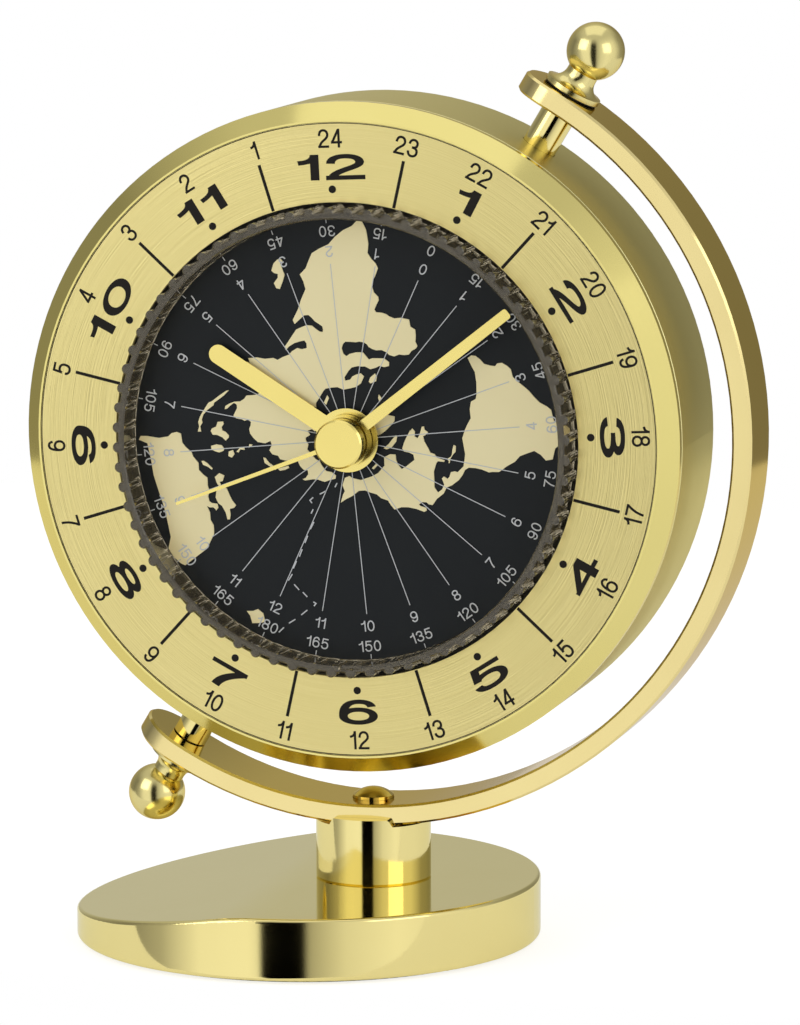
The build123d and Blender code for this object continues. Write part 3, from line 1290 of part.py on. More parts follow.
# Stud of the motion wheel, pressed into the main plate
with BuildPart() as motion_stud:
    with BuildSketch(facing_plane(main_plate_back, dial_lean, *motion_place)):
        Circle(stud_radius)
    extrude(amount=hour_layer - main_plate_back + drop_in_gap)
save(motion_stud, "motion_stud")

# Front plate: closes the housing and holds the bearing of the world wheel's tube
with BuildPart() as front_plate:
    with BuildSketch(facing_plane(housing_front, dial_lean)):
        RectangleRounded(housing_width, housing_width, housing_corner_radius)
        Circle(world_tube_radius + running_gap, mode=Mode.SUBTRACT)
        with Locations(idler_place):
            Circle(stud_radius, mode=Mode.SUBTRACT)
        with GridLocations(pillar_spacing, pillar_spacing, 2, 2):
            Circle(movement_screw_radius + drop_in_gap, mode=Mode.SUBTRACT)
    extrude(amount=front_plate_thickness)
    with BuildSketch(facing_plane(housing_front, dial_lean)):
        with Locations(set_place):
            Circle(set_shaft_radius + running_gap)
    extrude(amount=front_plate_thickness / 2 + drop_in_gap, mode=Mode.SUBTRACT)
save(front_plate, "front_plate")

# Stud of the idler, pressed into the front plate
with BuildPart() as idler_stud:
    with BuildSketch(facing_plane(hour_layer - wheel_thickness - drop_in_gap, dial_lean, *idler_place)):
        Circle(stud_radius)
    extrude(amount=dial_plate_back - hour_layer + wheel_thickness + drop_in_gap)
save(idler_stud, "idler_stud")

# Four long screws that hold the movement to the dial plate
with BuildPart() as movement_screws:
    with BuildSketch(facing_plane(housing_back, dial_lean)):
        with GridLocations(pillar_spacing, pillar_spacing, 2, 2):
            Circle(movement_screw_head_radius)
    extrude(amount=-movement_screw_head_height)
    with BuildSketch(facing_plane(housing_back, dial_lean)):
        with GridLocations(pillar_spacing, pillar_spacing, 2, 2):
            Circle(movement_screw_radius)
    extrude(amount=dial_plate_back + movement_screw_grip - housing_back)
save(movement_screws, "movement_screws")

# Stator: soft iron plate round the rotor magnet, with two legs up to the coil
with BuildPart() as stator:
    with BuildSketch(facing_plane(stator_back, dial_lean)):
        with Locations(((stator_left + stator_right) / 2, (stator_bar_bottom + stator_bar_top) / 2)):
            Rectangle(stator_right - stator_left, stator_bar_top - stator_bar_bottom)
        for leg_middle in (stator_left + stator_leg_width / 2, stator_right - stator_leg_width / 2):
            with Locations((leg_middle, (stator_bar_bottom + stator_leg_top) / 2)):
                Rectangle(stator_leg_width, stator_leg_top - stator_bar_bottom)
        with Locations(rotor_place):
            Circle(stator_ring_radius)
        with Locations((rotor_place[0], (rotor_place[1] + stator_bar_bottom) / 2)):
            Rectangle(2 * stator_ring_radius, stator_bar_bottom - rotor_place[1])
        with Locations(rotor_place):
            Circle(stator_hole_radius, mode=Mode.SUBTRACT)
    extrude(amount=stator_thickness)
save(stator, "stator")

# Coil: a bobbin between the legs of the stator, and its copper winding
bobbin_left = stator_left + stator_leg_width + drop_in_gap
bobbin_right = stator_right - stator_leg_width - drop_in_gap
bobbin_depth = stator_back + stator_thickness / 2
coil_plane = facing_plane(bobbin_depth, dial_lean, bobbin_left, coil_centre_height)
coil_end_plane = Plane(origin=coil_plane.origin, x_dir=coil_plane.z_dir, z_dir=coil_plane.x_dir)
with BuildPart() as coil_bobbin:
    with BuildSketch(coil_end_plane):
        Circle(coil_core_width / 2)
    extrude(amount=bobbin_right - bobbin_left)
    with BuildSketch(coil_end_plane):
        Circle(coil_flange_radius)
    extrude(amount=coil_flange_thickness)
    with BuildSketch(coil_end_plane.offset(bobbin_right - bobbin_left)):
        Circle(coil_flange_radius)
    extrude(amount=-coil_flange_thickness)
save(coil_bobbin, "coil_bobbin")

with BuildPart() as coil_winding:
    with BuildSketch(coil_end_plane.offset(coil_flange_thickness)):
        Circle(coil_winding_radius)
        Circle(coil_core_width / 2, mode=Mode.SUBTRACT)
    extrude(amount=bobbin_right - bobbin_left - 2 * coil_flange_thickness)
save(coil_winding, "coil_winding")

# Circuit board on the floor of the housing, with its quartz crystal and driver chip
with BuildPart() as circuit_board:
    with BuildSketch(facing_plane(housing_inner, dial_lean, board_centre_across, board_centre_up)):
        Rectangle(board_width, board_height)
        with Locations((-pillar_spacing / 2 - board_centre_across, pillar_spacing / 2 - board_centre_up)):
            Circle(pillar_radius + moving_gap, mode=Mode.SUBTRACT)
    extrude(amount=board_thickness)
save(circuit_board, "circuit_board")

board_front = housing_inner + board_thickness
crystal_across = board_centre_across - crystal_length / 2
crystal_up = board_centre_up - crystal_down_share * board_height
crystal_base = facing_plane(board_front + crystal_radius, dial_lean, crystal_across, crystal_up)
with BuildPart() as quartz_crystal:
    with BuildSketch(Plane(origin=crystal_base.origin, x_dir=crystal_base.z_dir, z_dir=crystal_base.x_dir)):
        Circle(crystal_radius)
    extrude(amount=crystal_length)
save(quartz_crystal, "quartz_crystal")

chip_up = board_centre_up + chip_up_share * board_height
with BuildPart() as driver_chip:
    with BuildSketch(facing_plane(board_front, dial_lean, board_centre_across, chip_up)):
        Rectangle(chip_width, chip_width)
    extrude(amount=chip_height)
save(driver_chip, "driver_chip")

# Back cover: screwed to the ledge of the drum, with the battery opening and the hole for the set shaft
window_length = door_length + 2 * window_gap
door_top = -battery_centre_down + door_width / 2
hinge_up = door_top - cover_thickness / 2
window_height = door_width + 2 * window_gap
door_hinge_plane = facing_plane((cover_back + cover_front) / 2, 0.0, 0.0, hinge_up)
door_pin_plane = Plane(
    origin=door_hinge_plane.origin, x_dir=door_hinge_plane.z_dir, z_dir=door_hinge_plane.x_dir
)
with BuildPart() as back_cover:
    with BuildSketch(facing_plane(cover_back)):
        Circle(cover_radius)
        with Locations((0, -battery_centre_down)):
            Rectangle(window_length, window_height, mode=Mode.SUBTRACT)
        with Locations((0, -battery_centre_down - window_height / 2)):
            Circle(door_notch_radius, mode=Mode.SUBTRACT)
    extrude(amount=cover_thickness)
    with BuildSketch(facing_plane(cover_back, dial_lean)):
        with Locations(set_place):
            Circle(set_shaft_radius + set_shaft_hole_gap)
    extrude(amount=cover_thickness, mode=Mode.SUBTRACT)
    with BuildSketch(facing_plane(cover_back)):
        with PolarLocations(cover_screw_circle_radius, 4, start_angle=45):
            Circle(cover_screw_radius + drop_in_gap)
    extrude(amount=cover_thickness, mode=Mode.SUBTRACT)
    with BuildSketch(facing_plane(cover_back)):
        with PolarLocations(cover_screw_circle_radius, 4, start_angle=45):
            Circle(cover_screw_head_radius + drop_in_gap)
    extrude(amount=cover_screw_head_height, mode=Mode.SUBTRACT)
    with BuildSketch(door_pin_plane):
        Circle(door_pin_radius + running_gap)
    extrude(amount=door_length / 2 + door_pin_length + drop_in_gap, both=True, mode=Mode.SUBTRACT)
save(back_cover, "back_cover")

with BuildPart() as cover_screws:
    with BuildSketch(facing_plane(cover_back)):
        with PolarLocations(cover_screw_circle_radius, 4, start_angle=45):
            Circle(cover_screw_head_radius)
    extrude(amount=cover_screw_head_height)
    with BuildSketch(facing_plane(cover_back)):
        with PolarLocations(cover_screw_circle_radius, 4, start_angle=45):
            Circle(cover_screw_radius)
    extrude(amount=cover_thickness + cover_screw_grip)
save(cover_screws, "cover_screws")

# Battery door: hinged along its top edge on two small trunnions
with BuildPart() as battery_door:
    with BuildSketch(facing_plane(cover_back)):
        with Locations((0, (hinge_up - battery_centre_down - door_width / 2) / 2)):
            Rectangle(door_length, hinge_up + battery_centre_down + door_width / 2)
    extrude(amount=cover_thickness)
    with BuildSketch(door_pin_plane):
        Circle(cover_thickness / 2)
    extrude(amount=door_length / 2, both=True)
    with BuildSketch(door_pin_plane):
        Circle(door_pin_radius)
    extrude(amount=door_length / 2 + door_pin_length, both=True)
save(battery_door, "battery_door")

# Battery bay behind the door
bay_length = battery_bay_inner_length + 2 * battery_bay_wall
bay_width = battery_bay_inner_width + 2 * battery_bay_wall
tab_up = -battery_centre_down + bay_width / 2
tab_back = cover_front + contact_tab_share * battery_bay_depth
with BuildPart() as battery_bay:
    with BuildSketch(facing_plane(cover_front, 0.0, 0.0, -battery_centre_down)):
        Rectangle(bay_length, bay_width)
    extrude(amount=battery_bay_depth)
    with BuildSketch(facing_plane(cover_front, 0.0, 0.0, -battery_centre_down)):
        Rectangle(battery_bay_inner_length, battery_bay_inner_width)
    extrude(amount=battery_bay_depth - battery_bay_wall, mode=Mode.SUBTRACT)
    with BuildSketch(facing_plane(tab_back)):
        for side in (1, -1):
            with Locations((side * (battery_bay_inner_length - contact_thickness) / 2, tab_up)):
                Rectangle(contact_thickness + 2 * drop_in_gap, 2 * battery_bay_wall + 2 * drop_in_gap)
    extrude(amount=contact_tab_width + 2 * drop_in_gap, mode=Mode.SUBTRACT)
save(battery_bay, "battery_bay")

# Two spring-metal contacts, each with a solder tab through the wall of the bay
contact_depth = tab_back + drop_in_gap
tab_middle = tab_up + (contact_tab_length - battery_bay_wall) / 2
for side, name in ((1, "positive_contact"), (-1, "negative_contact")):
    with BuildPart() as contact:
        with BuildSketch(facing_plane(contact_depth - contact_tab_width / 2)):
            with Locations((side * (battery_bay_inner_length - contact_thickness) / 2, -battery_centre_down)):
                Rectangle(contact_thickness, battery_bay_inner_width)
        extrude(amount=contact_width)
        with BuildSketch(facing_plane(contact_depth)):
            with Locations((side * (battery_bay_inner_length - contact_thickness) / 2, tab_middle)):
                Rectangle(contact_thickness, contact_tab_length + battery_bay_wall)
        extrude(amount=contact_tab_width)
    save(contact, name)

# Battery: one cell lying across the case
battery_depth = cover_front + (battery_bay_depth - battery_bay_wall) / 2
battery_left = -(battery_length + battery_nub_length) / 2
battery_base = facing_plane(battery_depth, 0.0, battery_left, -battery_centre_down)
battery_plane = Plane(origin=battery_base.origin, x_dir=battery_base.z_dir, z_dir=battery_base.x_dir)
with BuildPart() as battery:
    with BuildSketch(battery_plane):
        Circle(battery_radius)
    extrude(amount=battery_length)
    with BuildSketch(battery_plane.offset(battery_length)):
        Circle(battery_nub_radius)
    extrude(amount=battery_nub_length)
save(battery, "battery")
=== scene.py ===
# %% [markdown]
# # A world time clock
#
# A round gold case swivels between two ball finials in a C-shaped arm, on a short post and a round base with a
# sloping top. The solids come from the construction model, in metres, and stay where they are. This script gives
# them their finishes, prints the dial and the map, and sets the light and the camera.

# %% Load the construction model
import json
from math import cos, radians, sin

import bpy
import numpy as np
from mathutils import Matrix, Vector


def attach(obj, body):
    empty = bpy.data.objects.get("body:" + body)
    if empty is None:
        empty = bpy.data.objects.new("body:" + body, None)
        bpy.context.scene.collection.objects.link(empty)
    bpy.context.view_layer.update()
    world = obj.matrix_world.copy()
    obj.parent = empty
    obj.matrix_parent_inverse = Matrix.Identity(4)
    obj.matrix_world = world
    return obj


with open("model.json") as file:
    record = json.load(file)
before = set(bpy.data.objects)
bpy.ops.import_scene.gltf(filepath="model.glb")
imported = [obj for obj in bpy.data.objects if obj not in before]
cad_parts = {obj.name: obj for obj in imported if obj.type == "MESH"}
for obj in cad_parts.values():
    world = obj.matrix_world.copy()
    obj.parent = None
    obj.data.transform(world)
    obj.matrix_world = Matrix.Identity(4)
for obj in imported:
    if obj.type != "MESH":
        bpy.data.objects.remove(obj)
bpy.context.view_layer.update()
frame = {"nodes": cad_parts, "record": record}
mm = 0.001

# %% [markdown]
# ## The camera
#
# The photograph was taken with a long lens, a little from the right and a little from above. The three angles and
# the distance were found by matching the dots on the dial, the outlines and the base, so the camera is placed with
# them and isn't aimed at anything.

# %% Camera
turn_right, tilt_up, roll = radians(15.046), radians(8.335), radians(-0.147)
back = Vector((sin(turn_right) * cos(tilt_up), -cos(turn_right) * cos(tilt_up), sin(tilt_up)))
level_right = Vector((cos(turn_right), sin(turn_right), 0))
level_up = back.cross(level_right)
right = cos(roll) * level_right + sin(roll) * level_up
up = cos(roll) * level_up - sin(roll) * level_right
camera_place = Vector((325.0, -1137.8, 259.1)) * mm
camera_data = bpy.data.cameras.new("camera")
camera_data.sensor_fit = "HORIZONTAL"
camera_data.sensor_width = 36.0
camera_data.lens = 270.0
camera_data.clip_start = 0.05
camera = bpy.data.objects.new("camera", camera_data)
camera.matrix_world = Matrix.Translation(camera_place) @ Matrix((right, up, back)).transposed().to_4x4()
bpy.context.scene.collection.objects.link(camera)
bpy.context.scene.camera = camera
bpy.context.scene.view_settings.view_transform = "Standard"
print("camera", [round(c, 3) for c in camera_place], "lens", camera_data.lens)

# %% [markdown]
# ## Where things are on the dial
#
# Everything printed is placed on one plane that faces the viewer: so far across and so far up from the middle of
# the dial, at a depth in front of the swivel axis. The whole dial stands 2.7 degrees anticlockwise in its case.

# %% Dial plane
centre_x, centre_z = 13.5, 103.2
dial_lean = radians(2.7)
dial_face, disc_face = 20.3, 17.3
relief_height, mark_lift, stroke_lift = 0.2, 0.03, 0.006


def on_dial(across, rise, depth):
    """Points of the leaning dial: x = cx + a cos L - r sin L, z = cz + a sin L + r cos L, y = -depth, in metres."""
    x = centre_x + across * cos(dial_lean) - rise * sin(dial_lean)
    z = centre_z + across * sin(dial_lean) + rise * cos(dial_lean)
    return np.stack([x, np.broadcast_to(-np.asarray(depth, dtype=float), x.shape), z], axis=-1) * mm


def add_piece(name, points, faces, material, body):
    """Put points and faces into a new mesh, give it its finish, and let it ride on a body."""
    mesh = bpy.data.meshes.new(name)
    mesh.from_pydata(points.tolist(), [], faces)
    mesh.materials.append(material)
    piece = bpy.data.objects.new(name, mesh)
    bpy.context.scene.collection.objects.link(piece)
    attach(piece, body)
    print(name, len(points), "points")


# %% [markdown]
# ## Finishes
#
# Each finish is a Principled shader whose colour, roughness and tiny relief vary over the surface. Two patterns are
# shared, so each is built once as a node group: a fine grain for plated, moulded and painted surfaces, and circular
# brushing for the dial.

# %% A small kit for nodes
def node(tree, kind, **settings):
    """Add a node; settings that name an input socket set that socket, and the others set the node itself."""
    made = tree.nodes.new(kind)
    for key, value in settings.items():
        if hasattr(made, key):
            setattr(made, key, value)
        else:
            made.inputs[key.replace("_", " ")].default_value = value
    return made


def new_group(name, inputs):
    """A shader node group with inputs (name, kind, value) and the three outputs that every finish uses."""
    group = bpy.data.node_groups.new(name, "ShaderNodeTree")
    for label, kind, value in inputs:
        socket = group.interface.new_socket(label, in_out="INPUT", socket_type=kind)
        socket.default_value = value
    for label, kind in (("Colour", "NodeSocketColor"), ("Roughness", "NodeSocketFloat"), ("Height", "NodeSocketFloat")):
        group.interface.new_socket(label, in_out="OUTPUT", socket_type=kind)
    entry, result = group.nodes.new("NodeGroupInput"), group.nodes.new("NodeGroupOutput")
    return group, entry, result


# %% Grain group
grain, entry, result = new_group(
    "grain",
    [
        ("Colour", "NodeSocketColor", (0.8, 0.8, 0.8, 1)),
        ("Shade", "NodeSocketColor", (0.7, 0.7, 0.7, 1)),
        ("Coarse scale", "NodeSocketFloat", 60.0),
        ("Fine scale", "NodeSocketFloat", 3000.0),
        ("Smooth", "NodeSocketFloat", 0.1),
        ("Rough", "NodeSocketFloat", 0.3),
    ],
)
place = node(grain, "ShaderNodeTexCoord")
coarse = node(grain, "ShaderNodeTexNoise", Detail=3.0)
fine = node(grain, "ShaderNodeTexNoise", Detail=2.0)
for pattern, scale in ((coarse, "Coarse scale"), (fine, "Fine scale")):
    grain.links.new(place.outputs["Object"], pattern.inputs["Vector"])
    grain.links.new(entry.outputs[scale], pattern.inputs["Scale"])
mix = node(grain, "ShaderNodeMix", data_type="RGBA")
grain.links.new(coarse.outputs["Fac"], mix.inputs["Factor"])
grain.links.new(entry.outputs["Colour"], mix.inputs["A"])
grain.links.new(entry.outputs["Shade"], mix.inputs["B"])
grain.links.new(mix.outputs["Result"], result.inputs["Colour"])
spread = node(grain, "ShaderNodeMapRange")
grain.links.new(coarse.outputs["Fac"], spread.inputs["Value"])
grain.links.new(entry.outputs["Smooth"], spread.inputs["To Min"])
grain.links.new(entry.outputs["Rough"], spread.inputs["To Max"])
grain.links.new(spread.outputs["Result"], result.inputs["Roughness"])
grain.links.new(fine.outputs["Fac"], result.inputs["Height"])
print("grain group", len(grain.nodes), "nodes")

# %% Circular brushing group
streaks_round, streaks_across = 3.0, 4200.0
brushing, entry, result = new_group(
    "circular_brushing",
    [
        ("Colour", "NodeSocketColor", (0.8, 0.8, 0.8, 1)),
        ("Shade", "NodeSocketColor", (0.7, 0.7, 0.7, 1)),
        ("Smooth", "NodeSocketFloat", 0.2),
        ("Rough", "NodeSocketFloat", 0.4),
    ],
)
place = node(brushing, "ShaderNodeTexCoord")
centred = node(brushing, "ShaderNodeMapping", Location=(-centre_x * mm, 0, -centre_z * mm))
flat = node(brushing, "ShaderNodeVectorMath", operation="MULTIPLY")
flat.inputs[1].default_value = (1, 0, 1)
radius = node(brushing, "ShaderNodeVectorMath", operation="LENGTH")
heading = node(brushing, "ShaderNodeVectorMath", operation="NORMALIZE")
spin = node(brushing, "ShaderNodeVectorMath", operation="MULTIPLY")
spin.inputs[1].default_value = (streaks_round, 0, streaks_round)
rings = node(brushing, "ShaderNodeMath", operation="MULTIPLY")
rings.inputs[1].default_value = streaks_across
lift = node(brushing, "ShaderNodeCombineXYZ")
streak = node(brushing, "ShaderNodeVectorMath", operation="ADD")
lines = node(brushing, "ShaderNodeTexNoise", Scale=1.0, Detail=3.0)
mix = node(brushing, "ShaderNodeMix", data_type="RGBA")
spread = node(brushing, "ShaderNodeMapRange")
for source, target in (
    (place.outputs["Object"], centred.inputs["Vector"]),
    (centred.outputs["Vector"], flat.inputs[0]),
    (flat.outputs["Vector"], radius.inputs[0]),
    (flat.outputs["Vector"], heading.inputs[0]),
    (heading.outputs["Vector"], spin.inputs[0]),
    (radius.outputs["Value"], rings.inputs[0]),
    (rings.outputs["Value"], lift.inputs["Y"]),
    (spin.outputs["Vector"], streak.inputs[0]),
    (lift.outputs["Vector"], streak.inputs[1]),
    (streak.outputs["Vector"], lines.inputs["Vector"]),
    (lines.outputs["Fac"], mix.inputs["Factor"]),
    (entry.outputs["Colour"], mix.inputs["A"]),
    (entry.outputs["Shade"], mix.inputs["B"]),
    (lines.outputs["Fac"], spread.inputs["Value"]),
    (entry.outputs["Smooth"], spread.inputs["To Min"]),
    (entry.outputs["Rough"], spread.inputs["To Max"]),
    (mix.outputs["Result"], result.inputs["Colour"]),
    (spread.outputs["Result"], result.inputs["Roughness"]),
    (lines.outputs["Fac"], result.inputs["Height"]),
):
    brushing.links.new(source, target)
print("brushing group", len(brushing.nodes), "nodes")


# %% One function for every finish
relief_distance = 0.0002


def finish(name, colour, shade, smooth, rough, metal=0.0, scales=(60.0, 3000.0), bump=0.05, group=grain, **sockets):
    """A Principled shader whose colour, roughness and relief come from a pattern group."""
    material = bpy.data.materials.new(name)
    material.use_nodes = True
    tree = material.node_tree
    shader = tree.nodes["Principled BSDF"]
    pattern = node(tree, "ShaderNodeGroup", node_tree=group)
    pattern.inputs["Colour"].default_value = (*colour, 1)
    pattern.inputs["Shade"].default_value = (*shade, 1)
    pattern.inputs["Smooth"].default_value = smooth
    pattern.inputs["Rough"].default_value = rough
    if group is grain:
        pattern.inputs["Coarse scale"].default_value, pattern.inputs["Fine scale"].default_value = scales
    relief = node(tree, "ShaderNodeBump", Strength=bump, Distance=relief_distance)
    shader.inputs["Metallic"].default_value = metal
    for label, value in sockets.items():
        shader.inputs[label.replace("_", " ")].default_value = value
    tree.links.new(pattern.outputs["Colour"], shader.inputs["Base Color"])
    tree.links.new(pattern.outputs["Roughness"], shader.inputs["Roughness"])
    tree.links.new(pattern.outputs["Height"], relief.inputs["Height"])
    tree.links.new(relief.outputs["Normal"], shader.inputs["Normal"])
    return material


# %% The finishes
finishes = {
    "polished_gold": finish(
        "polished_gold", (0.92, 0.80, 0.35), (0.89, 0.76, 0.31), 0.05, 0.11, 1.0, bump=0.01,
        Specular_Tint=(0.94, 0.93, 0.80, 1),
    ),
    "arm_gold": finish(
        "arm_gold", (0.90, 0.76, 0.35), (0.86, 0.71, 0.31), 0.07, 0.14, 1.0, bump=0.01,
        Specular_Tint=(0.72, 0.60, 0.34, 1),
    ),
    "finial_gold": finish(
        "finial_gold", (0.86, 0.76, 0.34), (0.80, 0.69, 0.29), 0.13, 0.22, 1.0, bump=0.02,
        Specular_Tint=(0.85, 0.74, 0.50, 1),
    ),
    "satin_gold": finish(
        "satin_gold", (0.82, 0.75, 0.37), (0.76, 0.69, 0.33), 0.30, 0.42, 1.0, Specular_Tint=(0.80, 0.72, 0.46, 1)
    ),
    "bezel_gold": finish(
        "bezel_gold", (0.86, 0.75, 0.28), (0.82, 0.71, 0.25), 0.10, 0.18, 1.0, bump=0.01,
        Specular_Tint=(0.90, 0.80, 0.50, 1),
    ),
    "dial_gold": finish(
        "dial_gold", (0.97, 0.84, 0.37), (0.90, 0.77, 0.31), 0.28, 0.44, 1.0, bump=0.25, group=brushing
    ),
    "relief_gold": finish("relief_gold", (0.95, 0.86, 0.52), (0.91, 0.81, 0.48), 0.40, 0.55, 0.7),
    "hand_gold": finish("hand_gold", (0.94, 0.79, 0.26), (0.91, 0.75, 0.24), 0.14, 0.22, 1.0, bump=0.01),
    "map_black": finish(
        "map_black", (0.012, 0.015, 0.017), (0.010, 0.012, 0.014), 0.30, 0.40, Specular_IOR_Level=0.18
    ),
    "black_plastic": finish(
        "black_plastic", (0.018, 0.018, 0.018), (0.026, 0.026, 0.026), 0.45, 0.60, bump=0.3, Specular_IOR_Level=0.3
    ),
    "movement_plastic": finish("movement_plastic", (0.05, 0.05, 0.055), (0.07, 0.07, 0.075), 0.40, 0.55, bump=0.2),
    "gear_plastic": finish("gear_plastic", (0.80, 0.79, 0.74), (0.74, 0.73, 0.68), 0.35, 0.50),
    "gear_brass": finish("gear_brass", (0.78, 0.58, 0.25), (0.72, 0.52, 0.21), 0.20, 0.35, 1.0),
    "steel": finish("steel", (0.62, 0.62, 0.62), (0.54, 0.54, 0.55), 0.18, 0.32, 1.0),
    "bush_nylon": finish("bush_nylon", (0.03, 0.03, 0.03), (0.04, 0.04, 0.04), 0.40, 0.50),
    "felt": finish("felt", (0.03, 0.05, 0.04), (0.05, 0.08, 0.06), 0.90, 1.0, bump=0.9, scales=(300.0, 6000.0)),
    "copper_wire": finish("copper_wire", (0.72, 0.33, 0.15), (0.60, 0.26, 0.11), 0.25, 0.40, 1.0),
    "circuit_green": finish("circuit_green", (0.03, 0.20, 0.08), (0.02, 0.15, 0.06), 0.30, 0.40),
    "chip_black": finish("chip_black", (0.015, 0.015, 0.015), (0.02, 0.02, 0.02), 0.20, 0.30),
    "battery_jacket": finish("battery_jacket", (0.10, 0.11, 0.14), (0.08, 0.09, 0.12), 0.25, 0.35, 0.5),
}
clear = bpy.data.materials.new("clear_acrylic")
clear.use_nodes = True
glass = clear.node_tree.nodes["Principled BSDF"]
for label, value in (
    ("Base Color", (0.84, 0.74, 0.52, 1)),
    ("Transmission Weight", 0.96),
    ("IOR", 1.49),
    ("Roughness", 0.05),
    ("Specular IOR Level", 0.3),
):
    glass.inputs[label].default_value = value
finishes["clear_acrylic"] = clear
# Dial ink, also used as painted shade for the dark ring where the dial meets the bezel.
ink_and_joint_shade = finish("dial_ink_and_joint_shade", (0.010, 0.008, 0.006), (0.013, 0.011, 0.008), 0.45, 0.60, Specular_IOR_Level=0.2)
white_print = finish("map_print", (0.60, 0.62, 0.64), (0.54, 0.56, 0.58), 0.50, 0.60)
for row in frame["record"]["subparts"]:
    for slot in frame["nodes"][row["node"]].material_slots:
        slot.material = finishes[row["material_slot"]]
print(len(finishes), "finishes")

# %% [markdown]
# ## Ticks, dots and the painted shade in the joint round the dial
#
# Twelve long ticks mark the odd hours of the 24-hour scale and twelve dots sit under the hour figures. They are ink,
# so each is a flat shape a few hundredths of a millimetre above the metal. The fine dark line where the dial meets
# the bezel is painted shade: the shade in the narrow groove between them, laid as a flat dark ring in the same way.

# %% Ticks and dots
tick_inner, tick_outer, tick_width = 46.9, 56.3, 0.62
dot_circle, dot_radius, dot_sides = 49.3, 0.75, 24
hour_count, hour_step = 12, 30
day_count, day_step = 24, 15
hours = np.radians(np.arange(hour_count) * hour_step)
odd_hours = hours + radians(day_step)


def bars(bearings, inner, outer, width, depth):
    """Flat bars along radii: corner = s (sin b, cos b) + t (cos b, -sin b) with s inner or outer, t half the width."""
    along = np.array([inner, inner, outer, outer])
    beside = np.array([-0.5, 0.5, 0.5, -0.5]) * width
    b = np.asarray(bearings)[:, None]
    across = along * np.sin(b) + beside * np.cos(b)
    rise = along * np.cos(b) - beside * np.sin(b)
    faces = np.arange(4 * len(b)).reshape(-1, 4)
    return on_dial(across.ravel(), rise.ravel(), depth), faces.tolist()


points, faces = bars(odd_hours, tick_inner, tick_outer, tick_width, dial_face + mark_lift)
add_piece("hour_ticks", points, faces, ink_and_joint_shade, "case")

round_dot = np.linspace(0, 2 * np.pi, dot_sides, endpoint=False)
across = dot_circle * np.sin(hours)[:, None] + dot_radius * np.cos(round_dot)
rise = dot_circle * np.cos(hours)[:, None] + dot_radius * np.sin(round_dot)
points = on_dial(across.ravel(), rise.ravel(), dial_face + mark_lift)
faces = np.arange(across.size).reshape(hour_count, dot_sides).tolist()
add_piece("hour_dots", points, faces, ink_and_joint_shade, "case")

# %% Painted shade in the joint round the dial
# A flat dark ring is painted where the narrow groove between dial and bezel lies in shade.
joint_radius, joint_width, joint_steps = 62.15, 0.16, 180
turn = np.linspace(0, 2 * np.pi, joint_steps, endpoint=False)
edges = joint_radius + np.array([[-0.5], [0.5]]) * joint_width
across, rise = (edges * np.sin(turn)).ravel(), (edges * np.cos(turn)).ravel()
near = np.arange(joint_steps)
far = (near + 1) % joint_steps
faces = np.stack([near, near + joint_steps, far + joint_steps, far], axis=1).tolist()
add_piece("dial_joint_shade", on_dial(across, rise, dial_face + mark_lift), faces, ink_and_joint_shade, "case")

# %% [markdown]
# ## Figures
#
# The dial's figures are printed in a plain sans-serif. The thin 24-hour figures and the bold, very wide hour figures
# have the same skeleton, so each figure is written once as the middle line of a pen stroke in a box one unit wide and
# high. A ribbon of the pen's width is laid along that line, and the wide figures are then stretched sideways, which
# is what makes their upright strokes heavy and their level strokes light. Outlines from a typeface would not have had
# these proportions. In the lower part of the dial the figures stand with their feet outward, so that they read
# upright, and on the map all of them do.

# %% The skeletons of the ten figures
def oval(middle_up, half_wide, half_tall):
    """Closed curve of four cubic pieces round (0.5, middle_up), its sides a little straighter than an ellipse's."""
    x, y, soft, side = 0.5, middle_up, 0.56 * half_wide, 0.60 * half_tall
    top, foot = (x, y + half_tall), (x, y - half_tall)
    east, west = (x + half_wide, y), (x - half_wide, y)
    return [
        (top, (x + soft, top[1]), (east[0], y + side), east),
        (east, (east[0], y - side), (x + soft, foot[1]), foot),
        (foot, (x - soft, foot[1]), (west[0], y - side), west),
        (west, (west[0], y + side), (x - soft, top[1]), top),
    ]


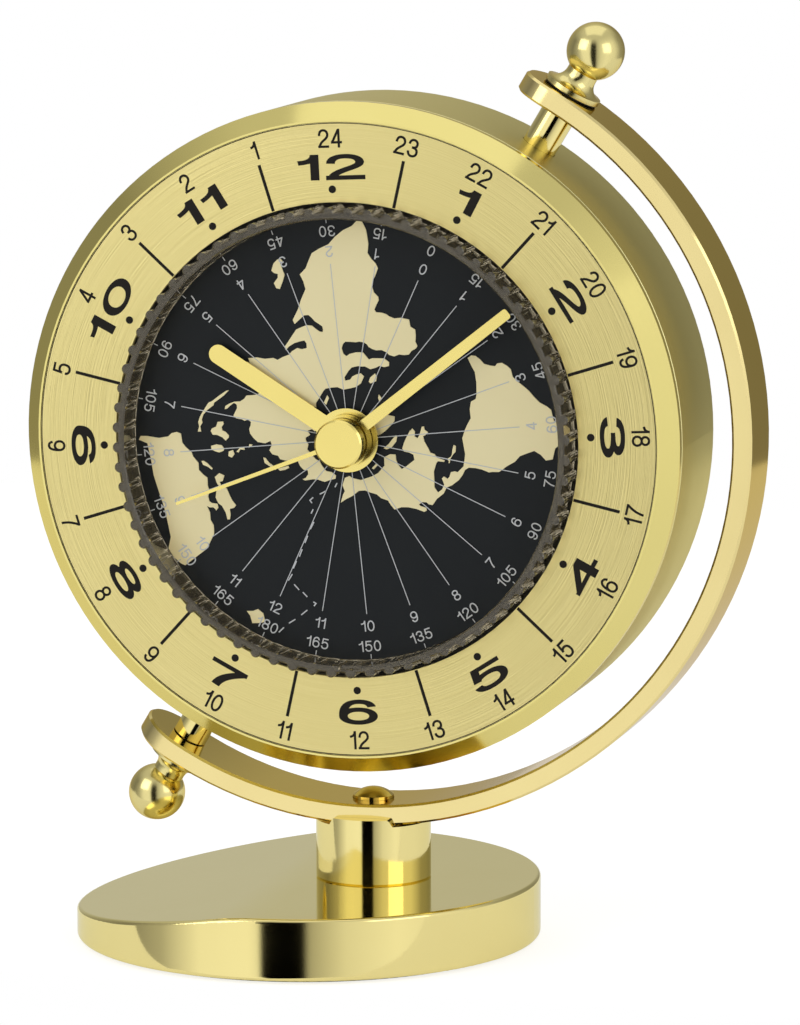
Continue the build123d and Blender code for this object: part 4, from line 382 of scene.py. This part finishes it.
six = [
    ("loop", oval(0.31, 0.5, 0.31)),
    ("round", [
        ((0.0, 0.33), (0.0, 0.78), (0.16, 1.0), (0.54, 1.0)),
        ((0.54, 1.0), (0.78, 1.0), (0.92, 0.90), (0.95, 0.75)),
    ]),
]
skeletons = {
    "0": [("loop", oval(0.5, 0.5, 0.5))],
    "1": [
        ("square", [((1.0, 0.0), (1.0, 1.0))]),
        ("round", [((-0.32, 0.72), (0.35, 0.74), (0.86, 0.80), (0.98, 1.03))]),
    ],
    "2": [
        ("round", [
            ((0.02, 0.66), (0.02, 0.88), (0.20, 1.0), (0.50, 1.0)),
            ((0.50, 1.0), (0.80, 1.0), (0.98, 0.88), (0.98, 0.71)),
            ((0.98, 0.71), (0.98, 0.44), (0.16, 0.38), (0.05, 0.0)),
        ]),
        ("square", [((0.0, 0.0), (1.0, 0.0))]),
    ],
    "3": [
        ("round", [
            ((0.03, 0.72), (0.05, 0.90), (0.22, 1.0), (0.48, 1.0)),
            ((0.48, 1.0), (0.76, 1.0), (0.93, 0.90), (0.93, 0.76)),
            ((0.93, 0.76), (0.93, 0.60), (0.76, 0.53), (0.36, 0.53)),
        ]),
        ("round", [
            ((0.36, 0.53), (0.80, 0.53), (1.0, 0.44), (1.0, 0.27)),
            ((1.0, 0.27), (1.0, 0.10), (0.80, 0.0), (0.49, 0.0)),
            ((0.49, 0.0), (0.20, 0.0), (0.02, 0.11), (0.0, 0.29)),
        ]),
    ],
    "4": [
        ("square", [((0.76, 0.0), (0.76, 1.0))]),
        ("round", [((0.72, 1.02), (0.0, 0.26))]),
        ("square", [((0.0, 0.25), (1.0, 0.25))]),
    ],
    "5": [
        ("square", [((0.16, 1.0), (0.92, 1.0))]),
        ("round", [((0.15, 1.04), (0.06, 0.45))]),
        ("round", [
            ((0.05, 0.50), (0.14, 0.61), (0.30, 0.66), (0.50, 0.66)),
            ((0.50, 0.66), (0.82, 0.66), (1.0, 0.53), (1.0, 0.34)),
            ((1.0, 0.34), (1.0, 0.12), (0.80, 0.0), (0.48, 0.0)),
            ((0.48, 0.0), (0.20, 0.0), (0.03, 0.09), (0.0, 0.26)),
        ]),
    ],
    "6": six,
    "7": [
        ("square", [((0.0, 1.0), (1.0, 1.0))]),
        ("round", [((1.0, 0.98), (0.62, 0.66), (0.34, 0.34), (0.30, -0.08))]),
    ],
    "8": [("loop", oval(0.77, 0.43, 0.23)), ("loop", oval(0.27, 0.5, 0.27))],
    "9": [(ends, [tuple((1 - x, 1 - y) for x, y in piece) for piece in pieces]) for ends, pieces in six],
}
print(len(skeletons), "figures")


# %% A ribbon along a skeleton
def pen_path(pieces, steps=10):
    """Points along straight and cubic pieces: B(t) = sum of (1-t)^(n-i) t^i C(n,i) P_i, for n = 1 or 3."""
    t = np.linspace(0, 1, steps + 1)[:, None]
    run = []
    for piece in pieces:
        p = np.array(piece, dtype=float)
        if len(p) == 2:
            run.append(p[0] + (p[1] - p[0]) * np.array([[0.0], [1.0]]))
        else:
            run.append((1 - t) ** 3 * p[0] + 3 * (1 - t) ** 2 * t * p[1] + 3 * (1 - t) * t**2 * p[2] + t**3 * p[3])
    return np.concatenate([run[0]] + [part[1:] for part in run[1:]])


def ribbon(path, width, ends):
    """Two edges beside a path: P +- w/2 (n1 + n2) / (1 + n1.n2), where n1 and n2 are the normals on either side."""
    if ends == "loop":
        path = path[:-1]
        ahead = np.roll(path, -1, axis=0) - path
        ahead /= np.linalg.norm(ahead, axis=1, keepdims=True)
        behind = np.roll(ahead, 1, axis=0)
    else:
        ahead = np.diff(path, axis=0)
        ahead /= np.linalg.norm(ahead, axis=1, keepdims=True)
        if ends == "square":
            path = path.copy()
            path[0] -= ahead[0] * width / 2
            path[-1] += ahead[-1] * width / 2
        behind, ahead = np.vstack([ahead[:1], ahead]), np.vstack([ahead, ahead[-1:]])
    first, second = behind[:, ::-1] * (-1, 1), ahead[:, ::-1] * (-1, 1)
    beside = (first + second) / (1 + (first * second).sum(1, keepdims=True)) * width / 2
    count = len(path)
    near = np.arange(count if ends == "loop" else count - 1)
    far = (near + 1) % count
    return np.vstack([path + beside, path - beside]), np.stack([near, near + count, far + count, far], axis=1)


def join(shapes):
    """Points and faces of several shapes as one: the faces of each count on from the points before it."""
    firsts = np.cumsum([0] + [len(points) for points, _ in shapes[:-1]])
    all_faces = [faces + first for (_, faces), first in zip(shapes, firsts)]
    return np.concatenate([points for points, _ in shapes]), np.concatenate(all_faces)


def figure_shape(figure, wide, tall, pen):
    """Points (x, y, lift) and faces of one figure; its strokes fill a box, and each lies on top of the one before."""
    strokes = []
    for layer, (ends, pieces) in enumerate(skeletons[figure]):
        path = pen_path(pieces) * (wide - pen, tall - pen) + pen / 2
        points, faces = ribbon(path, pen, ends)
        strokes.append((np.column_stack([points, np.full(len(points), layer * stroke_lift)]), faces))
    return join(strokes)


def set_figures(rows, style, depth):
    """Figures round the dial from rows of (text, bearing, distance, feet outward), in one style of pen and box."""
    placed = []
    for text, bearing, distance, feet_out in rows:
        start, figures = 0.0, []
        for figure in text:
            wide = style["one"] if figure == "1" else style["wide"]
            points, faces = figure_shape(figure, wide / style["stretch"], style["tall"], style["pen"])
            figures.append((points * (style["stretch"], 1, 1) + (start, 0, 0), faces))
            start += wide + style["gap"]
        for points, faces in figures:
            side, tall = points[:, 0] - (start - style["gap"]) / 2, points[:, 1] - style["tall"] / 2
            if feet_out:
                side, tall = -side, -tall
            across = (distance + tall) * sin(bearing) + side * cos(bearing)
            rise = (distance + tall) * cos(bearing) - side * sin(bearing)
            placed.append((np.column_stack([across, rise, points[:, 2]]), faces))
    points, faces = join(placed)
    return on_dial(points[:, 0], points[:, 1], depth + points[:, 2]), faces.tolist()


# %% Hour figures and 24-hour figures
hour_circle, day_circle = 53.6, 59.2
upright_hours, upright_days = range(4, 9), range(7, 18)
hour_style = {"wide": 7.9, "one": 4.3, "tall": 5.0, "pen": 0.86, "stretch": 2.05, "gap": 1.35}
day_style = {"wide": 2.2, "one": 1.25, "tall": 3.65, "pen": 0.47, "stretch": 1.0, "gap": 0.42}
hour_rows = [(str(h), radians(hour_step * h), hour_circle, h in upright_hours) for h in range(1, hour_count + 1)]
points, faces = set_figures(hour_rows, hour_style, dial_face + mark_lift)
add_piece("hour_figures", points, faces, ink_and_joint_shade, "case")
day_rows = [(str(d), radians(-day_step * d), day_circle, d in upright_days) for d in range(1, day_count + 1)]
points, faces = set_figures(day_rows, day_style, dial_face + mark_lift)
add_piece("day_figures", points, faces, ink_and_joint_shade, "case")

# %% [markdown]
# ## Printing on the map
#
# The disc is a map of the world seen from above the pole. Fine pale meridians run out from the middle, one for each
# hour, and a dashed line follows the change of date. Numbers round the edge give each meridian's longitude and its
# hour. The print lies a little above the raised land, so one flat sheet of strokes serves land and sea.

# %% Meridians
first_bearing = radians(26.8)
map_print_depth = disc_face + relief_height + mark_lift
meridian_width = 0.17
meridian_inner, meridian_outer = 5.0, 34.6
end_inner, end_outer = 42.6, 43.5
meridians = first_bearing - np.radians(np.arange(day_count) * day_step)
points, faces = bars(meridians, meridian_inner, meridian_outer, meridian_width, map_print_depth)
add_piece("map_meridians", points, faces, white_print, "map")
points, faces = bars(meridians, end_inner, end_outer, meridian_width, map_print_depth)
add_piece("map_meridian_ends", points, faces, white_print, "map")

# %% Date line, dash by dash, in degrees east and shares of the disc's radius
disc_radius = 43.7
date_line_width = 0.24
date_dashes = [
    [(-171.3, 0.206), (-172.4, 0.227)], [(179.9, 0.259), (175.8, 0.286)],
    [(172.2, 0.315), (171.3, 0.335), (173.8, 0.340)], [(176.7, 0.362), (176.8, 0.384)],
    [(-179.2, 0.412), (-179.5, 0.450)], [(-179.4, 0.482), (-179.3, 0.518)], [(-179.3, 0.550), (-179.2, 0.587)],
    [(-179.6, 0.611), (-179.6, 0.648)], [(-179.1, 0.674), (-179.5, 0.709)], [(-177.0, 0.714), (-174.6, 0.729)],
    [(-173.1, 0.733), (-171.1, 0.747)], [(-168.6, 0.761), (-167.6, 0.765), (-168.1, 0.779)],
    [(-170.0, 0.805), (-171.5, 0.835)], [(-172.9, 0.863), (-174.4, 0.890)], [(-175.4, 0.917), (-176.3, 0.947)],
]


def on_map(places):
    """Across and rise of places given as degrees east and a share of the radius: r sin b, r cos b, b = b0 - east."""
    east, share = np.array(places).T
    bearing = first_bearing - np.radians(east)
    return np.stack([disc_radius * share * np.sin(bearing), disc_radius * share * np.cos(bearing)], axis=1)


points, faces = join([ribbon(on_map(dash), date_line_width, "round") for dash in date_dashes])
points = on_dial(points[:, 0], points[:, 1], map_print_depth)
add_piece("date_line", points, faces.tolist(), white_print, "map")

# %% Numbers of the meridians
map_style = {"wide": 1.45, "one": 0.85, "tall": 2.15, "pen": 0.26, "stretch": 1.0, "gap": 0.34}
degrees_circle, zone_circle = 41.0, 37.0
number_rows = []
for step in range(day_count):
    east = day_step * (step if step <= day_count // 2 else step - day_count)
    bearing = first_bearing - radians(day_step * step)
    number_rows.append((str(abs(east)), bearing, degrees_circle, True))
    number_rows.append((str(abs(east) // day_step), bearing, zone_circle, True))
points, faces = set_figures(number_rows, map_style, map_print_depth)
add_piece("map_numbers", points, faces, white_print, "map")

# %% [markdown]
# ## Floor, light and background
#
# The clock stands on a plain pale table in soft light, as for a catalogue picture. Polished metal has hardly a colour
# of its own: it shows the room. In an all-white room it would look flat, so the room is pale in front and above,
# greyer at the sides and behind, and has one narrow dark gap where the photographer stands. The white that the
# camera sees round the clock comes from Light Path, not from more light on the clock. In reflections the table shows
# about two thirds of that white, and the room shows its greys.

# %% A factor for what shows the white background
def background_share(tree, in_metal):
    """Socket that is 1 for the camera and through glass, and a chosen share in reflections."""
    path = node(tree, "ShaderNodeLightPath")
    seen = node(tree, "ShaderNodeMath", operation="ADD")
    tree.links.new(path.outputs["Is Camera Ray"], seen.inputs[0])
    tree.links.new(path.outputs["Is Transmission Ray"], seen.inputs[1])
    total = node(tree, "ShaderNodeMath", operation="MULTIPLY_ADD", use_clamp=True)
    total.inputs[1].default_value = in_metal
    tree.links.new(path.outputs["Is Glossy Ray"], total.inputs[0])
    tree.links.new(seen.outputs["Value"], total.inputs[2])
    return total.outputs["Value"]


wall_share, table_share = 0.0, 0.68

# %% Table
left, right_end, front, rear = -0.5, 0.5, -0.0475, 0.6
table_grey, table_glow = 0.42, 0.75
floor_mesh = bpy.data.meshes.new("table")
corners = [(left, front, 0), (right_end, front, 0), (right_end, rear, 0), (left, rear, 0)]
floor_mesh.from_pydata(corners, [], [(0, 1, 2, 3)])
floor = bpy.data.objects.new("table", floor_mesh)
bpy.context.scene.collection.objects.link(floor)
pale = bpy.data.materials.new("pale_table")
pale.use_nodes = True
tree = pale.node_tree
shader = tree.nodes["Principled BSDF"]
shader.inputs["Base Color"].default_value = (table_grey, table_grey, table_grey, 1)
shader.inputs["Roughness"].default_value = 0.9
shader.inputs["Emission Color"].default_value = (1, 1, 1, 1)
glow = node(tree, "ShaderNodeMath", operation="MULTIPLY")
glow.inputs[1].default_value = table_glow
tree.links.new(background_share(tree, table_share), glow.inputs[0])
tree.links.new(glow.outputs["Value"], shader.inputs["Emission Strength"])
floor_mesh.materials.append(pale)
print("table", corners)

# %% Room, with grey levels by bearing (0 in front, 90 to the right) and one overhead
wall_levels = [
    (-180, 0.34), (-172, 0.50), (-160, 0.56), (-130, 0.36), (-90, 0.22), (-62, 0.45), (-40, 0.95), (-14, 1.0),
    (-9, 0.9), (-7, 0.0), (13, 0.0), (16, 0.42), (34, 0.80), (60, 0.97), (95, 0.85), (125, 0.36), (165, 0.27),
    (180, 0.34),
]
overhead_grey, overhead_from, overhead_full = 0.62, 0.45, 0.80
world = bpy.data.worlds.new("studio")
bpy.context.scene.world = world
world.use_nodes = True
tree = world.node_tree
surround = tree.nodes["Background"]
direction = node(tree, "ShaderNodeTexCoord")
parts = node(tree, "ShaderNodeSeparateXYZ")
forward = node(tree, "ShaderNodeMath", operation="MULTIPLY")
forward.inputs[1].default_value = -1.0
azimuth = node(tree, "ShaderNodeMath", operation="ARCTAN2")
around = node(tree, "ShaderNodeMapRange", From_Min=-np.pi, From_Max=np.pi)
walls = node(tree, "ShaderNodeValToRGB")
overhead = node(tree, "ShaderNodeMapRange", From_Min=overhead_from, From_Max=overhead_full)
room = node(tree, "ShaderNodeMix", data_type="RGBA")
shown = node(tree, "ShaderNodeMix", data_type="RGBA")
room.inputs["B"].default_value = (overhead_grey, overhead_grey, overhead_grey, 1)
shown.inputs["B"].default_value = (1, 1, 1, 1)
while len(walls.color_ramp.elements) < len(wall_levels):
    walls.color_ramp.elements.new(0.5)
for stop, (bearing, grey) in zip(walls.color_ramp.elements, wall_levels):
    stop.position, stop.color = 0.5 + bearing / 360, (grey, grey, grey, 1)
for source, target in (
    (direction.outputs["Generated"], parts.inputs["Vector"]),
    (parts.outputs["Y"], forward.inputs[0]),
    (parts.outputs["X"], azimuth.inputs[0]),
    (forward.outputs["Value"], azimuth.inputs[1]),
    (azimuth.outputs["Value"], around.inputs["Value"]),
    (around.outputs["Result"], walls.inputs["Fac"]),
    (parts.outputs["Z"], overhead.inputs["Value"]),
    (overhead.outputs["Result"], room.inputs["Factor"]),
    (walls.outputs["Color"], room.inputs["A"]),
    (room.outputs["Result"], shown.inputs["A"]),
    (background_share(tree, wall_share), shown.inputs["Factor"]),
    (shown.outputs["Result"], surround.inputs["Color"]),
):
    tree.links.new(source, target)
print("room with", len(wall_levels), "levels of grey")


# %% Lamps
def softbox(name, place, aim, size, power):
    """A square area lamp at a place, turned to face a point."""
    lamp = bpy.data.lights.new(name, "AREA")
    lamp.size = size
    lamp.energy = power
    holder = bpy.data.objects.new(name, lamp)
    facing = (Vector(aim) - Vector(place)).to_track_quat("-Z", "Y")
    holder.matrix_world = Matrix.Translation(place) @ facing.to_matrix().to_4x4()
    bpy.context.scene.collection.objects.link(holder)


heart = (0.01, 0, 0.10)
softbox("key_light", place=(-0.7, -0.8, 0.7), aim=heart, size=0.8, power=2.6)
softbox("fill_light", place=(0.9, -0.5, 0.4), aim=heart, size=0.6, power=1.0)
softbox("top_light", place=(0.0, 0.1, 1.0), aim=heart, size=0.8, power=0.8)
print(len(bpy.data.lights), "lamps")
